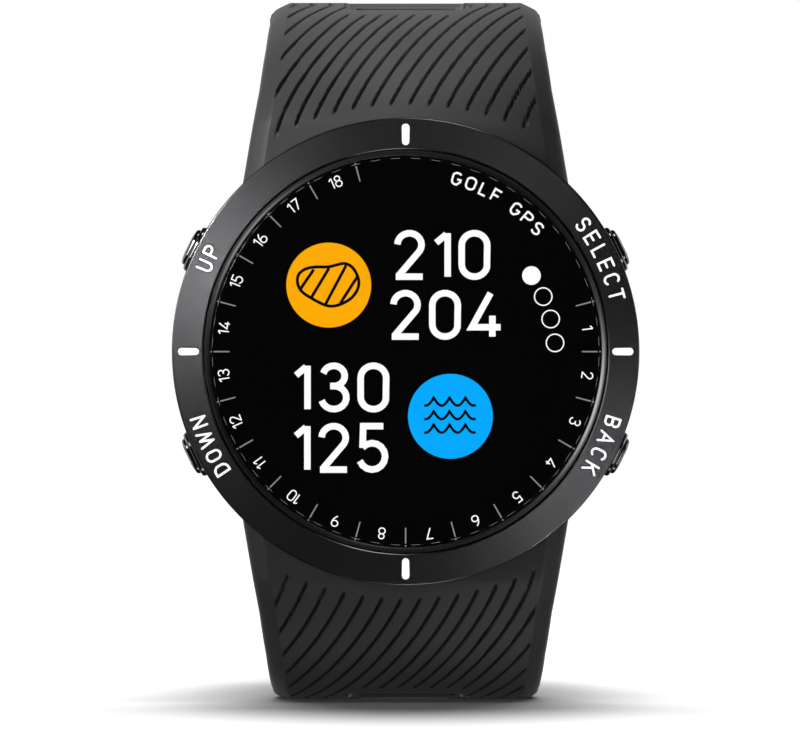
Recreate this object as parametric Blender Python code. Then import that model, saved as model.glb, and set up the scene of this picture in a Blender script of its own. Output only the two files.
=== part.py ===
"""Golf GPS watch: case with four side buttons on a two-piece silicone strap, unbuckled.

The dial faces -Y, +Z points to 12 o'clock and +X to 3 o'clock. The watch stands on the flat
underside of its lower strap half, and the origin is the centre of its footprint.

Every piece is drawn in the watch's own coordinates: the dial's centre is at x = 0, z = 0 and the
bezel's front face is at y = 0. One empty, watch_frame, carries them to their place over the floor.
Angles round the dial are counted from 3 o'clock towards 12 o'clock.
"""

import math

import bmesh
import bpy
from mathutils import Matrix, Vector

MM = 0.001

# ---- clearances -------------------------------------------------------------------------------
GAP = 0.10 * MM  # between pieces stacked along the watch's depth
FIT = 0.10 * MM  # round a piece that sits in a bore
RUNNING = 0.15 * MM  # round a piece that turns or slides

# ---- bezel, glass and dial --------------------------------------------------------------------
BEZEL_R = 23.0 * MM
BEZEL_BORE_R = 19.9 * MM
BEZEL_DEPTH = 2.8 * MM
BEZEL_FALL = 0.30 * MM  # the face falls this far towards the glass
BEZEL_EDGE = 0.25 * MM  # chamfer of the outer edge
MARKER_LENGTH = 2.1 * MM
MARKER_WIDTH = 0.72 * MM
MARKER_DEPTH = 0.6 * MM
MARKER_R = 21.35 * MM  # radius of the middle of each index inlay
MARKER_FIT = 0.04 * MM
GLASS_RING_WIDTH = 0.50 * MM
LENS_SINK = 0.55 * MM  # the glass sits this far below the bezel's front
LENS_THICKNESS = 1.2 * MM
GASKET_WIDTH = 0.72 * MM
GASKET_THICKNESS = 0.30 * MM
DIAL_RING_BORE_R = 15.95 * MM
DIAL_RING_THICKNESS = 0.40 * MM
PANEL_THICKNESS = 1.2 * MM
BACKLIGHT_THICKNESS = 0.6 * MM
TRAY_FLOOR = 0.6 * MM
TRAY_RIM_CLEAR = 0.25 * MM  # between the tray and the case wall

# ---- case -------------------------------------------------------------------------------------
CASE_BORE_R = 19.1 * MM
CASE_R = 21.0 * MM
CASE_FLANGE_R = 22.3 * MM  # the rim that carries the bezel
CASE_FLANGE_DEPTH = 0.5 * MM
CASE_BACK_Y = 10.0 * MM  # rear edge of the case wall
CASE_REAR_CHAMFER = 0.8 * MM
BACK_R = 20.2 * MM
BACK_THICKNESS = 1.9 * MM
BACK_CHAMFER = 0.9 * MM
BACK_GASKET_WIDTH = 0.6 * MM
BACK_GASKET_THICKNESS = 0.35 * MM
SCREW_RING_R = 17.7 * MM
SCREW_ANGLES = (48, 132, 228, 312)
SCREW_R = 0.60 * MM
SCREW_HEAD_R = 1.15 * MM
SCREW_HEAD_DEPTH = 0.8 * MM
SCREW_LENGTH = 4.2 * MM
POST_R = 1.60 * MM
CONTACT_R = 0.65 * MM
CONTACT_PITCH = 2.54 * MM
CONTACT_DEPTH = 2.3 * MM
CONTACT_Z = -12.6 * MM

# ---- electronics ------------------------------------------------------------------------------
BOARD_R = 17.4 * MM
BOARD_THICKNESS = 0.8 * MM
BATTERY_SIZE = (22.4 * MM, 3.3 * MM, 14.6 * MM)
BATTERY_CENTRE = (0.0, -3.4 * MM)
ANTENNA_SIZE = (9.0 * MM, 2.0 * MM, 9.0 * MM)
ANTENNA_CENTRE = (-5.2 * MM, 9.9 * MM)
MOTOR_R = 4.1 * MM
MOTOR_THICKNESS = 2.7 * MM
MOTOR_CENTRE = (6.0 * MM, 9.6 * MM)
SWITCH_WIDTH = 4.0 * MM
SWITCH_HEIGHT = 1.7 * MM
SWITCH_LENGTH = 1.5 * MM
SWITCH_NUB = 0.30 * MM

# ---- buttons ----------------------------------------------------------------------------------
BUTTON_ANGLES = {"select": 26, "back": -26, "up": 154, "down": 206}
BUTTON_Y = 6.4 * MM
BUTTON_LENGTH = 4.7 * MM  # round the case
BUTTON_HEIGHT = 3.4 * MM  # along the watch's depth
BUTTON_TOP_R = 23.75 * MM
BUTTON_FOOT_R = 21.2 * MM
BUTTON_EDGE = 0.55 * MM
BUTTON_TRAVEL = 0.5 * MM
STEM_R = 0.9 * MM
STEM_END_R = 18.0 * MM
POCKET_FLOOR_R = 20.4 * MM
POCKET_CLEAR = 0.2 * MM
COLLAR_WALL = 0.6 * MM
COLLAR_TOP_R = 22.4 * MM
SEAL_WALL = 0.35 * MM
SEAL_LENGTH = 0.8 * MM
CLIP_WALL = 0.45 * MM
CLIP_THICKNESS = 0.25 * MM

# ---- lugs and spring bars ---------------------------------------------------------------------
HINGE_Y = 5.2 * MM
HINGE_Z = 22.9 * MM
LUG_INNER_X = 11.1 * MM
LUG_THICKNESS = 2.3 * MM
LUG_EYE_R = 1.7 * MM
LUG_ROOT_Z = 16.2 * MM
LUG_ROOT_Y = (3.7 * MM, 9.2 * MM)
BAR_R = 0.75 * MM
BAR_TIP_R = 0.45 * MM
BAR_TIP_REACH = 1.5 * MM  # how far each tip goes into its lug

# ---- strap ------------------------------------------------------------------------------------
STRAP_FRONT_BEND = 18.0 * MM  # outer radius of the bend next to the case
STRAP_TOP_Z = 35.0 * MM  # the front bend's highest point over the dial's centre
TAIL_RUN = 32.0 * MM  # straight underside of the tail half, which it rests on
TAIL_BACK_BEND = 30.0 * MM
BUCKLE_DROOP = 14.0  # degrees that the buckle half falls from level
BUCKLE_DROOP_BEND = 30.0 * MM
BUCKLE_RUN = 26.0 * MM  # straight run that the free keeper slides along
BUCKLE_BACK_BEND = 26.0 * MM
STRAP_FRONT_Y = 2.0 * MM  # the front bend's circle comes this close to the bezel's front
STRAP_START_Z = 26.0 * MM  # where the full-width band begins
BUCKLE_HALF_LENGTH = 74.0 * MM  # along the band, to the buckle bar
TAIL_HALF_LENGTH = 105.0 * MM
REST_FLAT = 0.4 * MM  # how much the underside is pressed flat where it rests
TONGUE_HALF_WIDTH = LUG_INNER_X - 0.2 * MM
TONGUE_R = 2.0 * MM
TONGUE_BORE_R = BAR_R + RUNNING
BAND_PITCH = 2.8 * MM  # spacing of the band's drawn sections
EAR_CLEAR = 0.35 * MM  # between the strap's ears and the bezel's rim
EAR_TIP_X = 15.6 * MM
EAR_TIP_WIDTH = 0.5 * MM
TAIL_TIP = 6.0 * MM  # length of the rounded end of the tail
TIP_FULLNESS = 0.88
SLOT_LENGTH = 10.0 * MM
SLOT_WIDTH = 2.4 * MM
SLOT_START = 19.8 * MM
SLOT_PITCH = 6.5 * MM
SLOTS_BUCKLE_HALF = 5
SLOTS_TAIL_HALF = 12
EDGE_MARGIN = 1.6 * MM  # width of the sloped margin along each side
EDGE_FALL = 0.9 * MM

# band half width and thickness at distances along the band from the bezel's rim
BAND_STATIONS = (
    (0.0, 15.1, 4.4),
    (4.0, 14.5, 4.2),
    (10.0, 13.9, 3.8),
    (16.0, 13.5, 3.4),
    (22.0, 13.2, 3.1),
    (40.0, 12.0, 2.8),
    (58.0, 11.0, 2.6),
    (140.0, 11.0, 2.4),
)

# ---- buckle and keepers -----------------------------------------------------------------------
BUCKLE_BAR_R = 0.6 * MM
BARREL_R = 1.9 * MM
FRAME_ARM = 1.8 * MM
FRAME_LENGTH = 12.5 * MM  # from the bar's axis to the outside of the crossbar
FRAME_CROSSBAR = 2.2 * MM
FRAME_THICKNESS = 2.0 * MM
FRAME_EYE_R = 1.6 * MM
FRAME_CLEAR = 0.3 * MM
TANG_HALF_WIDTH = 3.9 * MM
TANG_THICKNESS = 1.0 * MM
TANG_CLEAR = 0.35 * MM
KEEPER_WIDTH = 5.0 * MM
KEEPER_WALL = 1.2 * MM
KEEPER_CLEAR = 0.35 * MM
KEEPER_ROOM = 2.9 * MM  # over the band, for the tail
FIXED_KEEPER_AT = 63.5 * MM
FREE_KEEPER_AT = 44.0 * MM
FREE_KEEPER_BACK = 6.0 * MM  # slide towards the case

ROUND = 60  # facets of a full turn on the case's rings
FINE = 84  # facets of the bezel


# ---- derived places -----------------------------------------------------------------------------
GLASS_RING_R = BEZEL_BORE_R - FIT
GLASS_RING_BORE_R = GLASS_RING_R - GLASS_RING_WIDTH
LENS_R = GLASS_RING_BORE_R - FIT
LENS_BACK_Y = LENS_SINK + LENS_THICKNESS
GASKET_Y = LENS_BACK_Y + GAP
GASKET_BORE_R = GLASS_RING_R - GASKET_WIDTH
DIAL_RING_R = GASKET_BORE_R - FIT
PANEL_Y = LENS_BACK_Y + GAP
PANEL_R = DIAL_RING_BORE_R - FIT
BACKLIGHT_Y = PANEL_Y + PANEL_THICKNESS + GAP
TRAY_FLOOR_Y = BACKLIGHT_Y + BACKLIGHT_THICKNESS + GAP
TRAY_RIM_Y = PANEL_Y + DIAL_RING_THICKNESS + GAP
TRAY_R = CASE_BORE_R - TRAY_RIM_CLEAR
TRAY_BACK_Y = TRAY_FLOOR_Y + TRAY_FLOOR
BOARD_Y = TRAY_BACK_Y + 2 * GAP
PARTS_Y = BOARD_Y + BOARD_THICKNESS + GAP  # front of what is mounted behind the board
CASE_LIP_Y = GASKET_Y + GASKET_THICKNESS + GAP
CASE_FRONT_Y = BEZEL_DEPTH + GAP
BACK_Y = CASE_BACK_Y + GAP
BACK_FACE_Y = BACK_Y + BACK_THICKNESS
LUG_OUTER_X = LUG_INNER_X + LUG_THICKNESS
BAND_BEND_Z = STRAP_TOP_Z - STRAP_FRONT_BEND
BAND_BEND_Y = STRAP_FRONT_Y + STRAP_FRONT_BEND
STRAP_BACK_Y = BAND_BEND_Y + TAIL_RUN + TAIL_BACK_BEND
REST_Z = -(STRAP_TOP_Z - REST_FLAT)


# ---- scene helpers ------------------------------------------------------------------------------


def clear_scene():
    """Take every object out of the scene."""
    for item in list(bpy.data.objects):
        bpy.data.objects.remove(item, do_unlink=True)


def material(name, colour, roughness, metallic=0.0):
    """A Principled material, made once for each name."""
    made = bpy.data.materials.get(name)
    if made:
        return made
    made = bpy.data.materials.new(name)
    made.use_nodes = True
    shader = made.node_tree.nodes["Principled BSDF"]
    shader.inputs["Base Color"].default_value = (*colour, 1.0)
    shader.inputs["Roughness"].default_value = roughness
    shader.inputs["Metallic"].default_value = metallic
    made.diffuse_color = (*colour, 1.0)
    return made


def blasted_metal():
    return material("blasted_metal", (0.035, 0.035, 0.037), 0.45, 0.9)


def polished_metal():
    return material("polished_metal", (0.03, 0.03, 0.032), 0.15, 1.0)


def steel():
    return material("steel", (0.55, 0.55, 0.56), 0.3, 1.0)


def gold_plate():
    return material("gold_plate", (0.83, 0.62, 0.25), 0.25, 1.0)


def silicone():
    return material("silicone", (0.022, 0.022, 0.023), 0.6)


def seal_rubber():
    return material("seal_rubber", (0.01, 0.01, 0.01), 0.75)


def black_plastic():
    return material("black_plastic", (0.015, 0.015, 0.016), 0.5)


def white_enamel():
    return material("white_enamel", (0.85, 0.85, 0.85), 0.35)


def dark_glass():
    return material("dark_glass", (0.004, 0.004, 0.005), 0.05)


def display_black():
    return material("display_black", (0.002, 0.002, 0.002), 0.2)


def diffuser_white():
    return material("diffuser_white", (0.8, 0.8, 0.78), 0.5)


def board_green():
    return material("board_green", (0.02, 0.12, 0.05), 0.5)


def ceramic_tan():
    return material("ceramic_tan", (0.55, 0.45, 0.3), 0.6)


def cell_foil():
    return material("cell_foil", (0.6, 0.6, 0.62), 0.4, 0.7)


def link(name, mesh):
    """An object of this mesh in the scene."""
    made = bpy.data.objects.new(name, mesh)
    bpy.context.scene.collection.objects.link(made)
    return made


def to_mesh(name, bm):
    """Close, orient and shade a bmesh, and turn it into a mesh."""
    bmesh.ops.remove_doubles(bm, verts=bm.verts, dist=0.000002)
    bmesh.ops.recalc_face_normals(bm, faces=bm.faces)
    mesh = bpy.data.meshes.new(name)
    bm.to_mesh(mesh)
    bm.free()
    mesh.shade_smooth()
    mesh.set_sharp_from_angle(angle=math.radians(32))
    return mesh


def piece(name, bm, finish, origin=(0.0, 0.0, 0.0), turn=None, parent=None):
    """A named piece. The mesh is drawn about origin, or about the turned frame there."""
    made = link(name, to_mesh(name, bm))
    made.data.materials.append(finish)
    made.parent = parent or bpy.data.objects["watch_frame"]
    made.location = origin
    if turn is not None:
        made.rotation_euler = turn
    return made


def cutter(name, bm, beside):
    """A helper solid for a Boolean, placed with the piece that it works on."""
    made = link(name, to_mesh(name, bm))
    made.parent = beside.parent
    made.location = beside.location
    made.rotation_euler = beside.rotation_euler
    made.hide_render = True
    made.display_type = "WIRE"
    return made


def combine(target, bm, operation):
    """Cut or join a helper solid, drawn in the target's own coordinates."""
    number = len(target.modifiers) + 1
    tool = cutter(f"{target.name}_tool_{number}", bm, target)
    change = target.modifiers.new(f"{operation.lower()}_{number}", "BOOLEAN")
    change.operation = operation
    change.object = tool
    change.solver = "EXACT"
    return tool


# ---- solid helpers ------------------------------------------------------------------------------


def spun(profile, steps=ROUND):
    """Spin a closed outline of (radius, y) points once round the Y axis."""
    bm = bmesh.new()
    corners = [bm.verts.new((radius, y, 0.0)) for radius, y in profile]
    edges = [bm.edges.new((a, b)) for a, b in zip(corners, corners[1:] + corners[:1])]
    bmesh.ops.spin(
        bm,
        geom=corners + edges,
        cent=(0, 0, 0),
        axis=(0, 1, 0),
        angle=math.tau,
        steps=steps,
        use_merge=True,
    )
    bmesh.ops.remove_doubles(bm, verts=bm.verts, dist=0.000002)
    bmesh.ops.dissolve_degenerate(bm, dist=0.000002, edges=bm.edges)
    return bm


def ring(inner, outer, front, back, steps=ROUND):
    """A plain flat ring between two radii and two depths."""
    return spun([(inner, front), (outer, front), (outer, back), (inner, back)], steps)


def disc(radius, front, back, steps=ROUND):
    """A plain disc: a round plate of many corners, extruded along the depth."""
    outline = circle(0.0, 0.0, radius, steps)
    return extruded([(x, front, z) for x, z in outline], (0.0, back - front, 0.0))


def circle(first, second, radius, steps=24, start=0.0, sweep=360.0):
    """Points on a circle, or on part of one when the sweep is under 360 degrees."""
    whole = abs(sweep) >= 360.0
    count = steps if whole else steps + 1
    angles = [math.radians(start + sweep * i / steps) for i in range(count)]
    return [(first + radius * math.cos(a), second + radius * math.sin(a)) for a in angles]


def extruded(outline, along):
    """A prism: one flat polygon of 3-D points carried along a vector."""
    bm = bmesh.new()
    face = bm.faces.new([bm.verts.new(point) for point in outline])
    grown = bmesh.ops.extrude_face_region(bm, geom=[face])
    moved = [item for item in grown["geom"] if isinstance(item, bmesh.types.BMVert)]
    bmesh.ops.translate(bm, verts=moved, vec=along)
    bmesh.ops.recalc_face_normals(bm, faces=bm.faces)
    return bm


def across(outline, left, right):
    """A prism with its outline in (y, z), from x = left to x = right."""
    return extruded([(left, y, z) for y, z in outline], (right - left, 0.0, 0.0))


def block(size, centre):
    """A rectangular block."""
    bm = bmesh.new()
    bmesh.ops.create_cube(bm, size=1.0)
    bmesh.ops.scale(bm, vec=size, verts=bm.verts)
    bmesh.ops.translate(bm, vec=centre, verts=bm.verts)
    return bm


def rod(radius, start, end, steps=16):
    """A round rod between two points."""
    start = Vector(start)
    end = Vector(end)
    bm = bmesh.new()
    bmesh.ops.create_cone(
        bm,
        cap_ends=True,
        segments=steps,
        radius1=radius,
        radius2=radius,
        depth=(end - start).length,
    )
    turn = Vector((0, 0, 1)).rotation_difference(end - start).to_matrix().to_4x4()
    bmesh.ops.transform(bm, matrix=Matrix.Translation((start + end) / 2) @ turn, verts=bm.verts)
    return bm


def merged(*parts):
    """One bmesh that holds several separate solids, for one Boolean."""
    whole = bmesh.new()
    for part in parts:
        held = bpy.data.meshes.new("held")
        part.to_mesh(held)
        part.free()
        whole.from_mesh(held)
        bpy.data.meshes.remove(held)
    return whole


def moved(bm, offset):
    """The same solid, carried along a vector."""
    bmesh.ops.translate(bm, vec=offset, verts=bm.verts)
    return bm


def stadium(length, height, start, end, steps=8):
    """A rounded bar along X: an outline with round ends in (y, z), z being its long way."""
    radius = height / 2
    reach = length / 2 - radius
    outline = circle(0.0, reach, radius, steps, 0.0, 180.0)
    outline += circle(0.0, -reach, radius, steps, 180.0, 180.0)
    return across(outline, start, end)


def convex(points):
    """The convex outline round some (y, z) points, in order."""
    points = sorted(set(points))

    def half(run):
        kept = []
        for p in run:
            while len(kept) > 1 and turn_of(kept[-2], kept[-1], p) <= 0:
                kept.pop()
            kept.append(p)
        return kept[:-1]

    return half(points) + half(points[::-1])


def turn_of(a, b, c):
    """Positive where the way a, b, c turns left."""
    return (b[0] - a[0]) * (c[1] - a[1]) - (b[1] - a[1]) * (c[0] - a[0])


# ---- front of the watch ---------------------------------------------------------------------------


def marker_outline(length, width):
    """An elongated hexagon in (x, z) with its points at the ends of its z length."""
    tip = width / 2
    half = length / 2
    return [
        (-width / 2, -half + tip),
        (0.0, -half),
        (width / 2, -half + tip),
        (width / 2, half - tip),
        (0.0, half),
        (-width / 2, half - tip),
    ]


def marker_solid(grow, front, depth, hour_angle):
    """An index inlay, or its pocket when grown, turned to its place on the bezel."""
    outline = marker_outline(MARKER_LENGTH + 2 * grow, MARKER_WIDTH + 2 * grow)
    bm = extruded([(x, front, z + MARKER_R) for x, z in outline], (0.0, depth, 0.0))
    turn = Matrix.Rotation(math.radians(90 - hour_angle), 4, "Y")
    bmesh.ops.transform(bm, matrix=turn, verts=bm.verts)
    return bm


MARKERS = {"12": 90, "3": 0, "6": 270, "9": 180}


def make_bezel():
    """The turned ring, with a pocket for each index inlay."""
    profile = [
        (BEZEL_BORE_R, BEZEL_FALL),
        (BEZEL_R - BEZEL_EDGE, 0.0),
        (BEZEL_R, BEZEL_EDGE),
        (BEZEL_R, BEZEL_DEPTH - BEZEL_EDGE),
        (BEZEL_R - BEZEL_EDGE, BEZEL_DEPTH),
        (BEZEL_BORE_R, BEZEL_DEPTH),
    ]
    bezel = piece("bezel", spun(profile, FINE), blasted_metal())
    pocket_depth = MARKER_DEPTH + MARKER_FIT + BEZEL_FALL
    pockets = [marker_solid(MARKER_FIT, -BEZEL_FALL, pocket_depth + BEZEL_FALL, a) for a in MARKERS.values()]
    combine(bezel, merged(*pockets), "DIFFERENCE")
    for hour, angle in MARKERS.items():
        inlay = marker_solid(0.0, BEZEL_FALL, MARKER_DEPTH, angle)
        piece(f"bezel_marker_{hour}", inlay, white_enamel())


def make_glass():
    """The sloped ring, the lens inside it and the gasket under both."""
    slope = [
        (GLASS_RING_BORE_R, LENS_SINK + GAP),
        (GLASS_RING_R, BEZEL_FALL + GAP),
        (GLASS_RING_R, LENS_BACK_Y),
        (GLASS_RING_BORE_R, LENS_BACK_Y),
    ]
    piece("glass_ring", spun(slope, FINE), black_plastic())
    piece("lens", disc(LENS_R, LENS_SINK, LENS_BACK_Y, FINE), dark_glass())
    gasket = ring(GASKET_BORE_R, GLASS_RING_R, GASKET_Y, GASKET_Y + GASKET_THICKNESS)
    piece("lens_gasket", gasket, seal_rubber())


def make_display():
    """The hole-number ring round the screen, the screen, its backlight and the tray under them."""
    numbers = ring(DIAL_RING_BORE_R, DIAL_RING_R, PANEL_Y, PANEL_Y + DIAL_RING_THICKNESS)
    piece("hole_number_ring", numbers, display_black())
    piece("display_panel", disc(PANEL_R, PANEL_Y, PANEL_Y + PANEL_THICKNESS), display_black())
    glow = disc(PANEL_R, BACKLIGHT_Y, BACKLIGHT_Y + BACKLIGHT_THICKNESS)
    piece("display_backlight", glow, diffuser_white())
    bore = PANEL_R + FIT
    profile = [
        (0.0, TRAY_FLOOR_Y),
        (bore, TRAY_FLOOR_Y),
        (bore, TRAY_RIM_Y),
        (TRAY_R, TRAY_RIM_Y),
        (TRAY_R, TRAY_BACK_Y),
        (0.0, TRAY_BACK_Y),
    ]
    piece("display_tray", spun(profile), black_plastic())


# ---- case -----------------------------------------------------------------------------------------


def polar(radius, degrees, y=0.0):
    """A point at this radius and dial angle."""
    angle = math.radians(degrees)
    return (radius * math.cos(angle), y, radius * math.sin(angle))


def radial_turn(degrees):
    """The rotation that points a piece's X axis outwards at this dial angle."""
    return (0.0, -math.radians(degrees), 0.0)


def turned(bm, degrees, y=0.0):
    """The same solid, drawn along +X, turned to this dial angle at a depth."""
    turn = Matrix.Translation((0.0, y, 0.0)) @ Matrix.Rotation(-math.radians(degrees), 4, "Y")
    bmesh.ops.transform(bm, matrix=turn, verts=bm.verts)
    return bm


def lug_outline(side):
    """The lug's (y, z) outline: a round eye on an arm that roots in the case wall."""
    eye = circle(HINGE_Y, HINGE_Z, LUG_EYE_R, 20)
    root = [(LUG_ROOT_Y[0], LUG_ROOT_Z), (LUG_ROOT_Y[1], LUG_ROOT_Z)]
    return [(y, side * z) for y, z in convex(eye + root)]


def make_case():
    """The case: a turned wall with four lugs, four button collars and four screw posts."""
    rebate_r = CASE_BORE_R + BACK_GASKET_WIDTH
    rebate_y = CASE_BACK_Y - BACK_GASKET_THICKNESS
    profile = [
        (CASE_BORE_R, CASE_LIP_Y),
        (GLASS_RING_R, CASE_LIP_Y),
        (GLASS_RING_R, CASE_FRONT_Y),
        (CASE_FLANGE_R, CASE_FRONT_Y),
        (CASE_FLANGE_R, CASE_FRONT_Y + CASE_FLANGE_DEPTH),
        (CASE_R, CASE_FRONT_Y + CASE_FLANGE_DEPTH + CASE_FLANGE_R - CASE_R),
        (CASE_R, CASE_BACK_Y - CASE_REAR_CHAMFER),
        (CASE_R - CASE_REAR_CHAMFER / 2, CASE_BACK_Y),
        (rebate_r, CASE_BACK_Y),
        (rebate_r, rebate_y),
        (CASE_BORE_R, rebate_y),
    ]
    case = piece("mid_case", spun(profile), black_plastic())
    seats = []
    for side in (1, -1):
        near = side * (HINGE_Z - TONGUE_R - 2 * RUNNING)
        seats.append(strap_seat(near, side))
    combine(case, merged(*seats), "DIFFERENCE")
    grown = []
    for side in (1, -1):
        for hand in (1, -1):
            grown.append(across(lug_outline(side), hand * LUG_INNER_X, hand * LUG_OUTER_X))
    for angle in BUTTON_ANGLES.values():
        wall = 2 * (POCKET_CLEAR + COLLAR_WALL)
        start = CASE_BORE_R + 3 * FIT
        collar = stadium(BUTTON_LENGTH + wall, BUTTON_HEIGHT + wall, start, COLLAR_TOP_R)
        grown.append(turned(collar, angle, BUTTON_Y))
    post_end = rebate_y - GAP
    for angle in SCREW_ANGLES:
        grown.append(rod(POST_R, polar(SCREW_RING_R, angle, PARTS_Y), polar(SCREW_RING_R, angle, post_end)))
    combine(case, merged(*grown), "UNION")
    bores = []
    for angle in BUTTON_ANGLES.values():
        bore = rod(STEM_R + SEAL_WALL + 2 * FIT, (TRAY_R - GAP, 0, 0), (POCKET_FLOOR_R + FIT, 0, 0))
        bores.append(turned(bore, angle, BUTTON_Y))
    combine(case, merged(*bores), "DIFFERENCE")
    holes = []
    for angle in BUTTON_ANGLES.values():
        clear = 2 * POCKET_CLEAR
        top = COLLAR_TOP_R + CASE_FLANGE_DEPTH
        pocket = stadium(BUTTON_LENGTH + clear, BUTTON_HEIGHT + clear, POCKET_FLOOR_R, top)
        holes.append(turned(pocket, angle, BUTTON_Y))
    for angle in SCREW_ANGLES:
        start = polar(SCREW_RING_R, angle, BACK_FACE_Y - SCREW_LENGTH - 2 * GAP)
        holes.append(rod(SCREW_R + FIT, start, polar(SCREW_RING_R, angle, BACK_Y)))
    for side in (1, -1):
        reach = LUG_INNER_X + BAR_TIP_REACH + FIT
        start = (-reach, HINGE_Y, side * HINGE_Z)
        holes.append(rod(BAR_TIP_R + FIT, start, (reach, HINGE_Y, side * HINGE_Z)))
    combine(case, merged(*holes), "DIFFERENCE")


def strap_seat(near, side):
    """The block cut away behind the bezel to make room for the strap's tongue."""
    depth = CASE_BACK_Y + BACK_THICKNESS
    size = (2 * LUG_INNER_X, depth, 2 * TONGUE_R)
    centre = (0.0, CASE_FRONT_Y - GAP / 2 + depth / 2, near + side * TONGUE_R)
    return block(size, centre)


def make_back():
    """The case back with its gasket, screws and charging contacts."""
    rebate_r = CASE_BORE_R + BACK_GASKET_WIDTH - FIT
    front = CASE_BACK_Y - BACK_GASKET_THICKNESS + GAP
    piece("case_back_gasket", ring(CASE_BORE_R + FIT, rebate_r, front, CASE_BACK_Y), seal_rubber())
    profile = [
        (0.0, BACK_Y),
        (BACK_R, BACK_Y),
        (BACK_R, BACK_FACE_Y - BACK_CHAMFER),
        (BACK_R - BACK_CHAMFER, BACK_FACE_Y),
        (0.0, BACK_FACE_Y),
    ]
    back = piece("case_back", spun(profile), blasted_metal())
    holes = []
    for angle in SCREW_ANGLES:
        low = polar(SCREW_RING_R, angle, BACK_Y - GAP)
        high = polar(SCREW_RING_R, angle, BACK_FACE_Y - SCREW_HEAD_DEPTH)
        holes.append(rod(SCREW_R + FIT, low, high))
    combine(back, merged(*holes), "DIFFERENCE")
    heads = []
    for angle in SCREW_ANGLES:
        low = polar(SCREW_RING_R, angle, BACK_FACE_Y - SCREW_HEAD_DEPTH - GAP)
        high = polar(SCREW_RING_R, angle, BACK_FACE_Y + GAP)
        heads.append(rod(SCREW_HEAD_R + FIT, low, high))
    for index in range(4):
        x = (index - 1.5) * CONTACT_PITCH
        low = (x, BACK_Y - GAP, CONTACT_Z)
        heads.append(rod(CONTACT_R + FIT, low, (x, BACK_FACE_Y + GAP, CONTACT_Z)))
        pin = rod(CONTACT_R, (x, BACK_FACE_Y - CONTACT_DEPTH, CONTACT_Z), (x, BACK_FACE_Y, CONTACT_Z))
        piece(f"charge_contact_{index + 1}", pin, gold_plate())
    combine(back, merged(*heads), "DIFFERENCE")
    for index, angle in enumerate(SCREW_ANGLES):
        x, _, z = polar(SCREW_RING_R, angle)
        head_y = BACK_FACE_Y - SCREW_HEAD_DEPTH
        screw_profile = [
            (0.0, BACK_FACE_Y - SCREW_LENGTH),
            (SCREW_R, BACK_FACE_Y - SCREW_LENGTH),
            (SCREW_R, head_y),
            (SCREW_HEAD_R, head_y),
            (SCREW_HEAD_R, BACK_FACE_Y - GAP),
            (0.0, BACK_FACE_Y - GAP),
        ]
        screw = moved(spun(screw_profile, 16), (x, 0.0, z))
        piece(f"case_screw_{index + 1}", screw, steel())


def make_electronics():
    """The board and what is mounted on its back."""
    piece("main_board", disc(BOARD_R, BOARD_Y, BOARD_Y + BOARD_THICKNESS), board_green())
    width, depth, height = BATTERY_SIZE
    centre = (BATTERY_CENTRE[0], PARTS_Y + depth / 2, BATTERY_CENTRE[1])
    battery = block((width, depth, height), centre)
    bmesh.ops.bevel(battery, geom=list(battery.edges), offset=0.5 * MM, segments=2, affect="EDGES")
    piece("battery", battery, cell_foil())
    centre = (ANTENNA_CENTRE[0], PARTS_Y + ANTENNA_SIZE[1] / 2, ANTENNA_CENTRE[1])
    piece("gps_antenna", block(ANTENNA_SIZE, centre), ceramic_tan())
    motor = disc(MOTOR_R, PARTS_Y, PARTS_Y + MOTOR_THICKNESS, 32)
    piece("vibration_motor", moved(motor, (MOTOR_CENTRE[0], 0.0, MOTOR_CENTRE[1])), steel())


def make_button(name, angle):
    """One push button with its stem seal and clip, and the switch that it presses."""
    turn = radial_turn(angle)
    place = (0.0, BUTTON_Y, 0.0)
    cap = stadium(BUTTON_LENGTH, BUTTON_HEIGHT, BUTTON_FOOT_R, BUTTON_TOP_R)
    rim = [e for e in cap.edges if all(v.co.x > BUTTON_TOP_R - GAP for v in e.verts)]
    bmesh.ops.bevel(cap, geom=rim, offset=BUTTON_EDGE, segments=3, affect="EDGES", profile=0.5)
    button = piece(f"button_{name}", cap, polished_metal(), place, turn)
    stem = rod(STEM_R, (STEM_END_R, 0, 0), (BUTTON_FOOT_R + BUTTON_EDGE, 0, 0))
    combine(button, stem, "UNION")
    middle = (CASE_BORE_R + POCKET_FLOOR_R) / 2
    seal = tube(STEM_R + FIT / 2, STEM_R + SEAL_WALL, middle - SEAL_LENGTH / 2, middle + SEAL_LENGTH / 2)
    piece(f"button_seal_{name}", seal, seal_rubber(), place, turn)
    clip_r = CASE_BORE_R - RUNNING
    clip = tube(STEM_R + FIT / 2, STEM_R + CLIP_WALL, clip_r - CLIP_THICKNESS, clip_r)
    piece(f"button_clip_{name}", clip, steel(), place, turn)
    nub_end = STEM_END_R - BUTTON_TRAVEL - GAP
    body_end = nub_end - SWITCH_NUB
    start = body_end - SWITCH_LENGTH
    lift = PARTS_Y + SWITCH_HEIGHT / 2 - BUTTON_Y
    body = block((SWITCH_LENGTH, SWITCH_HEIGHT, SWITCH_WIDTH), (start + SWITCH_LENGTH / 2, lift, 0))
    switch = piece(f"switch_{name}", body, steel(), place, turn)
    nub = block(
        (SWITCH_NUB + SWITCH_LENGTH / 2, SWITCH_HEIGHT / 2, SWITCH_WIDTH / 3),
        (nub_end - (SWITCH_NUB + SWITCH_LENGTH / 2) / 2, lift, 0),
    )
    combine(switch, nub, "UNION")


def tube(inner, outer, start, end, steps=14):
    """A short tube round the X axis."""
    bm = spun([(inner, start), (outer, start), (outer, end), (inner, end)], steps)
    bmesh.ops.rotate(bm, cent=(0, 0, 0), matrix=Matrix.Rotation(-math.pi / 2, 3, "Z"), verts=bm.verts)
    return bm


# ---- strap ----------------------------------------------------------------------------------------


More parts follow.
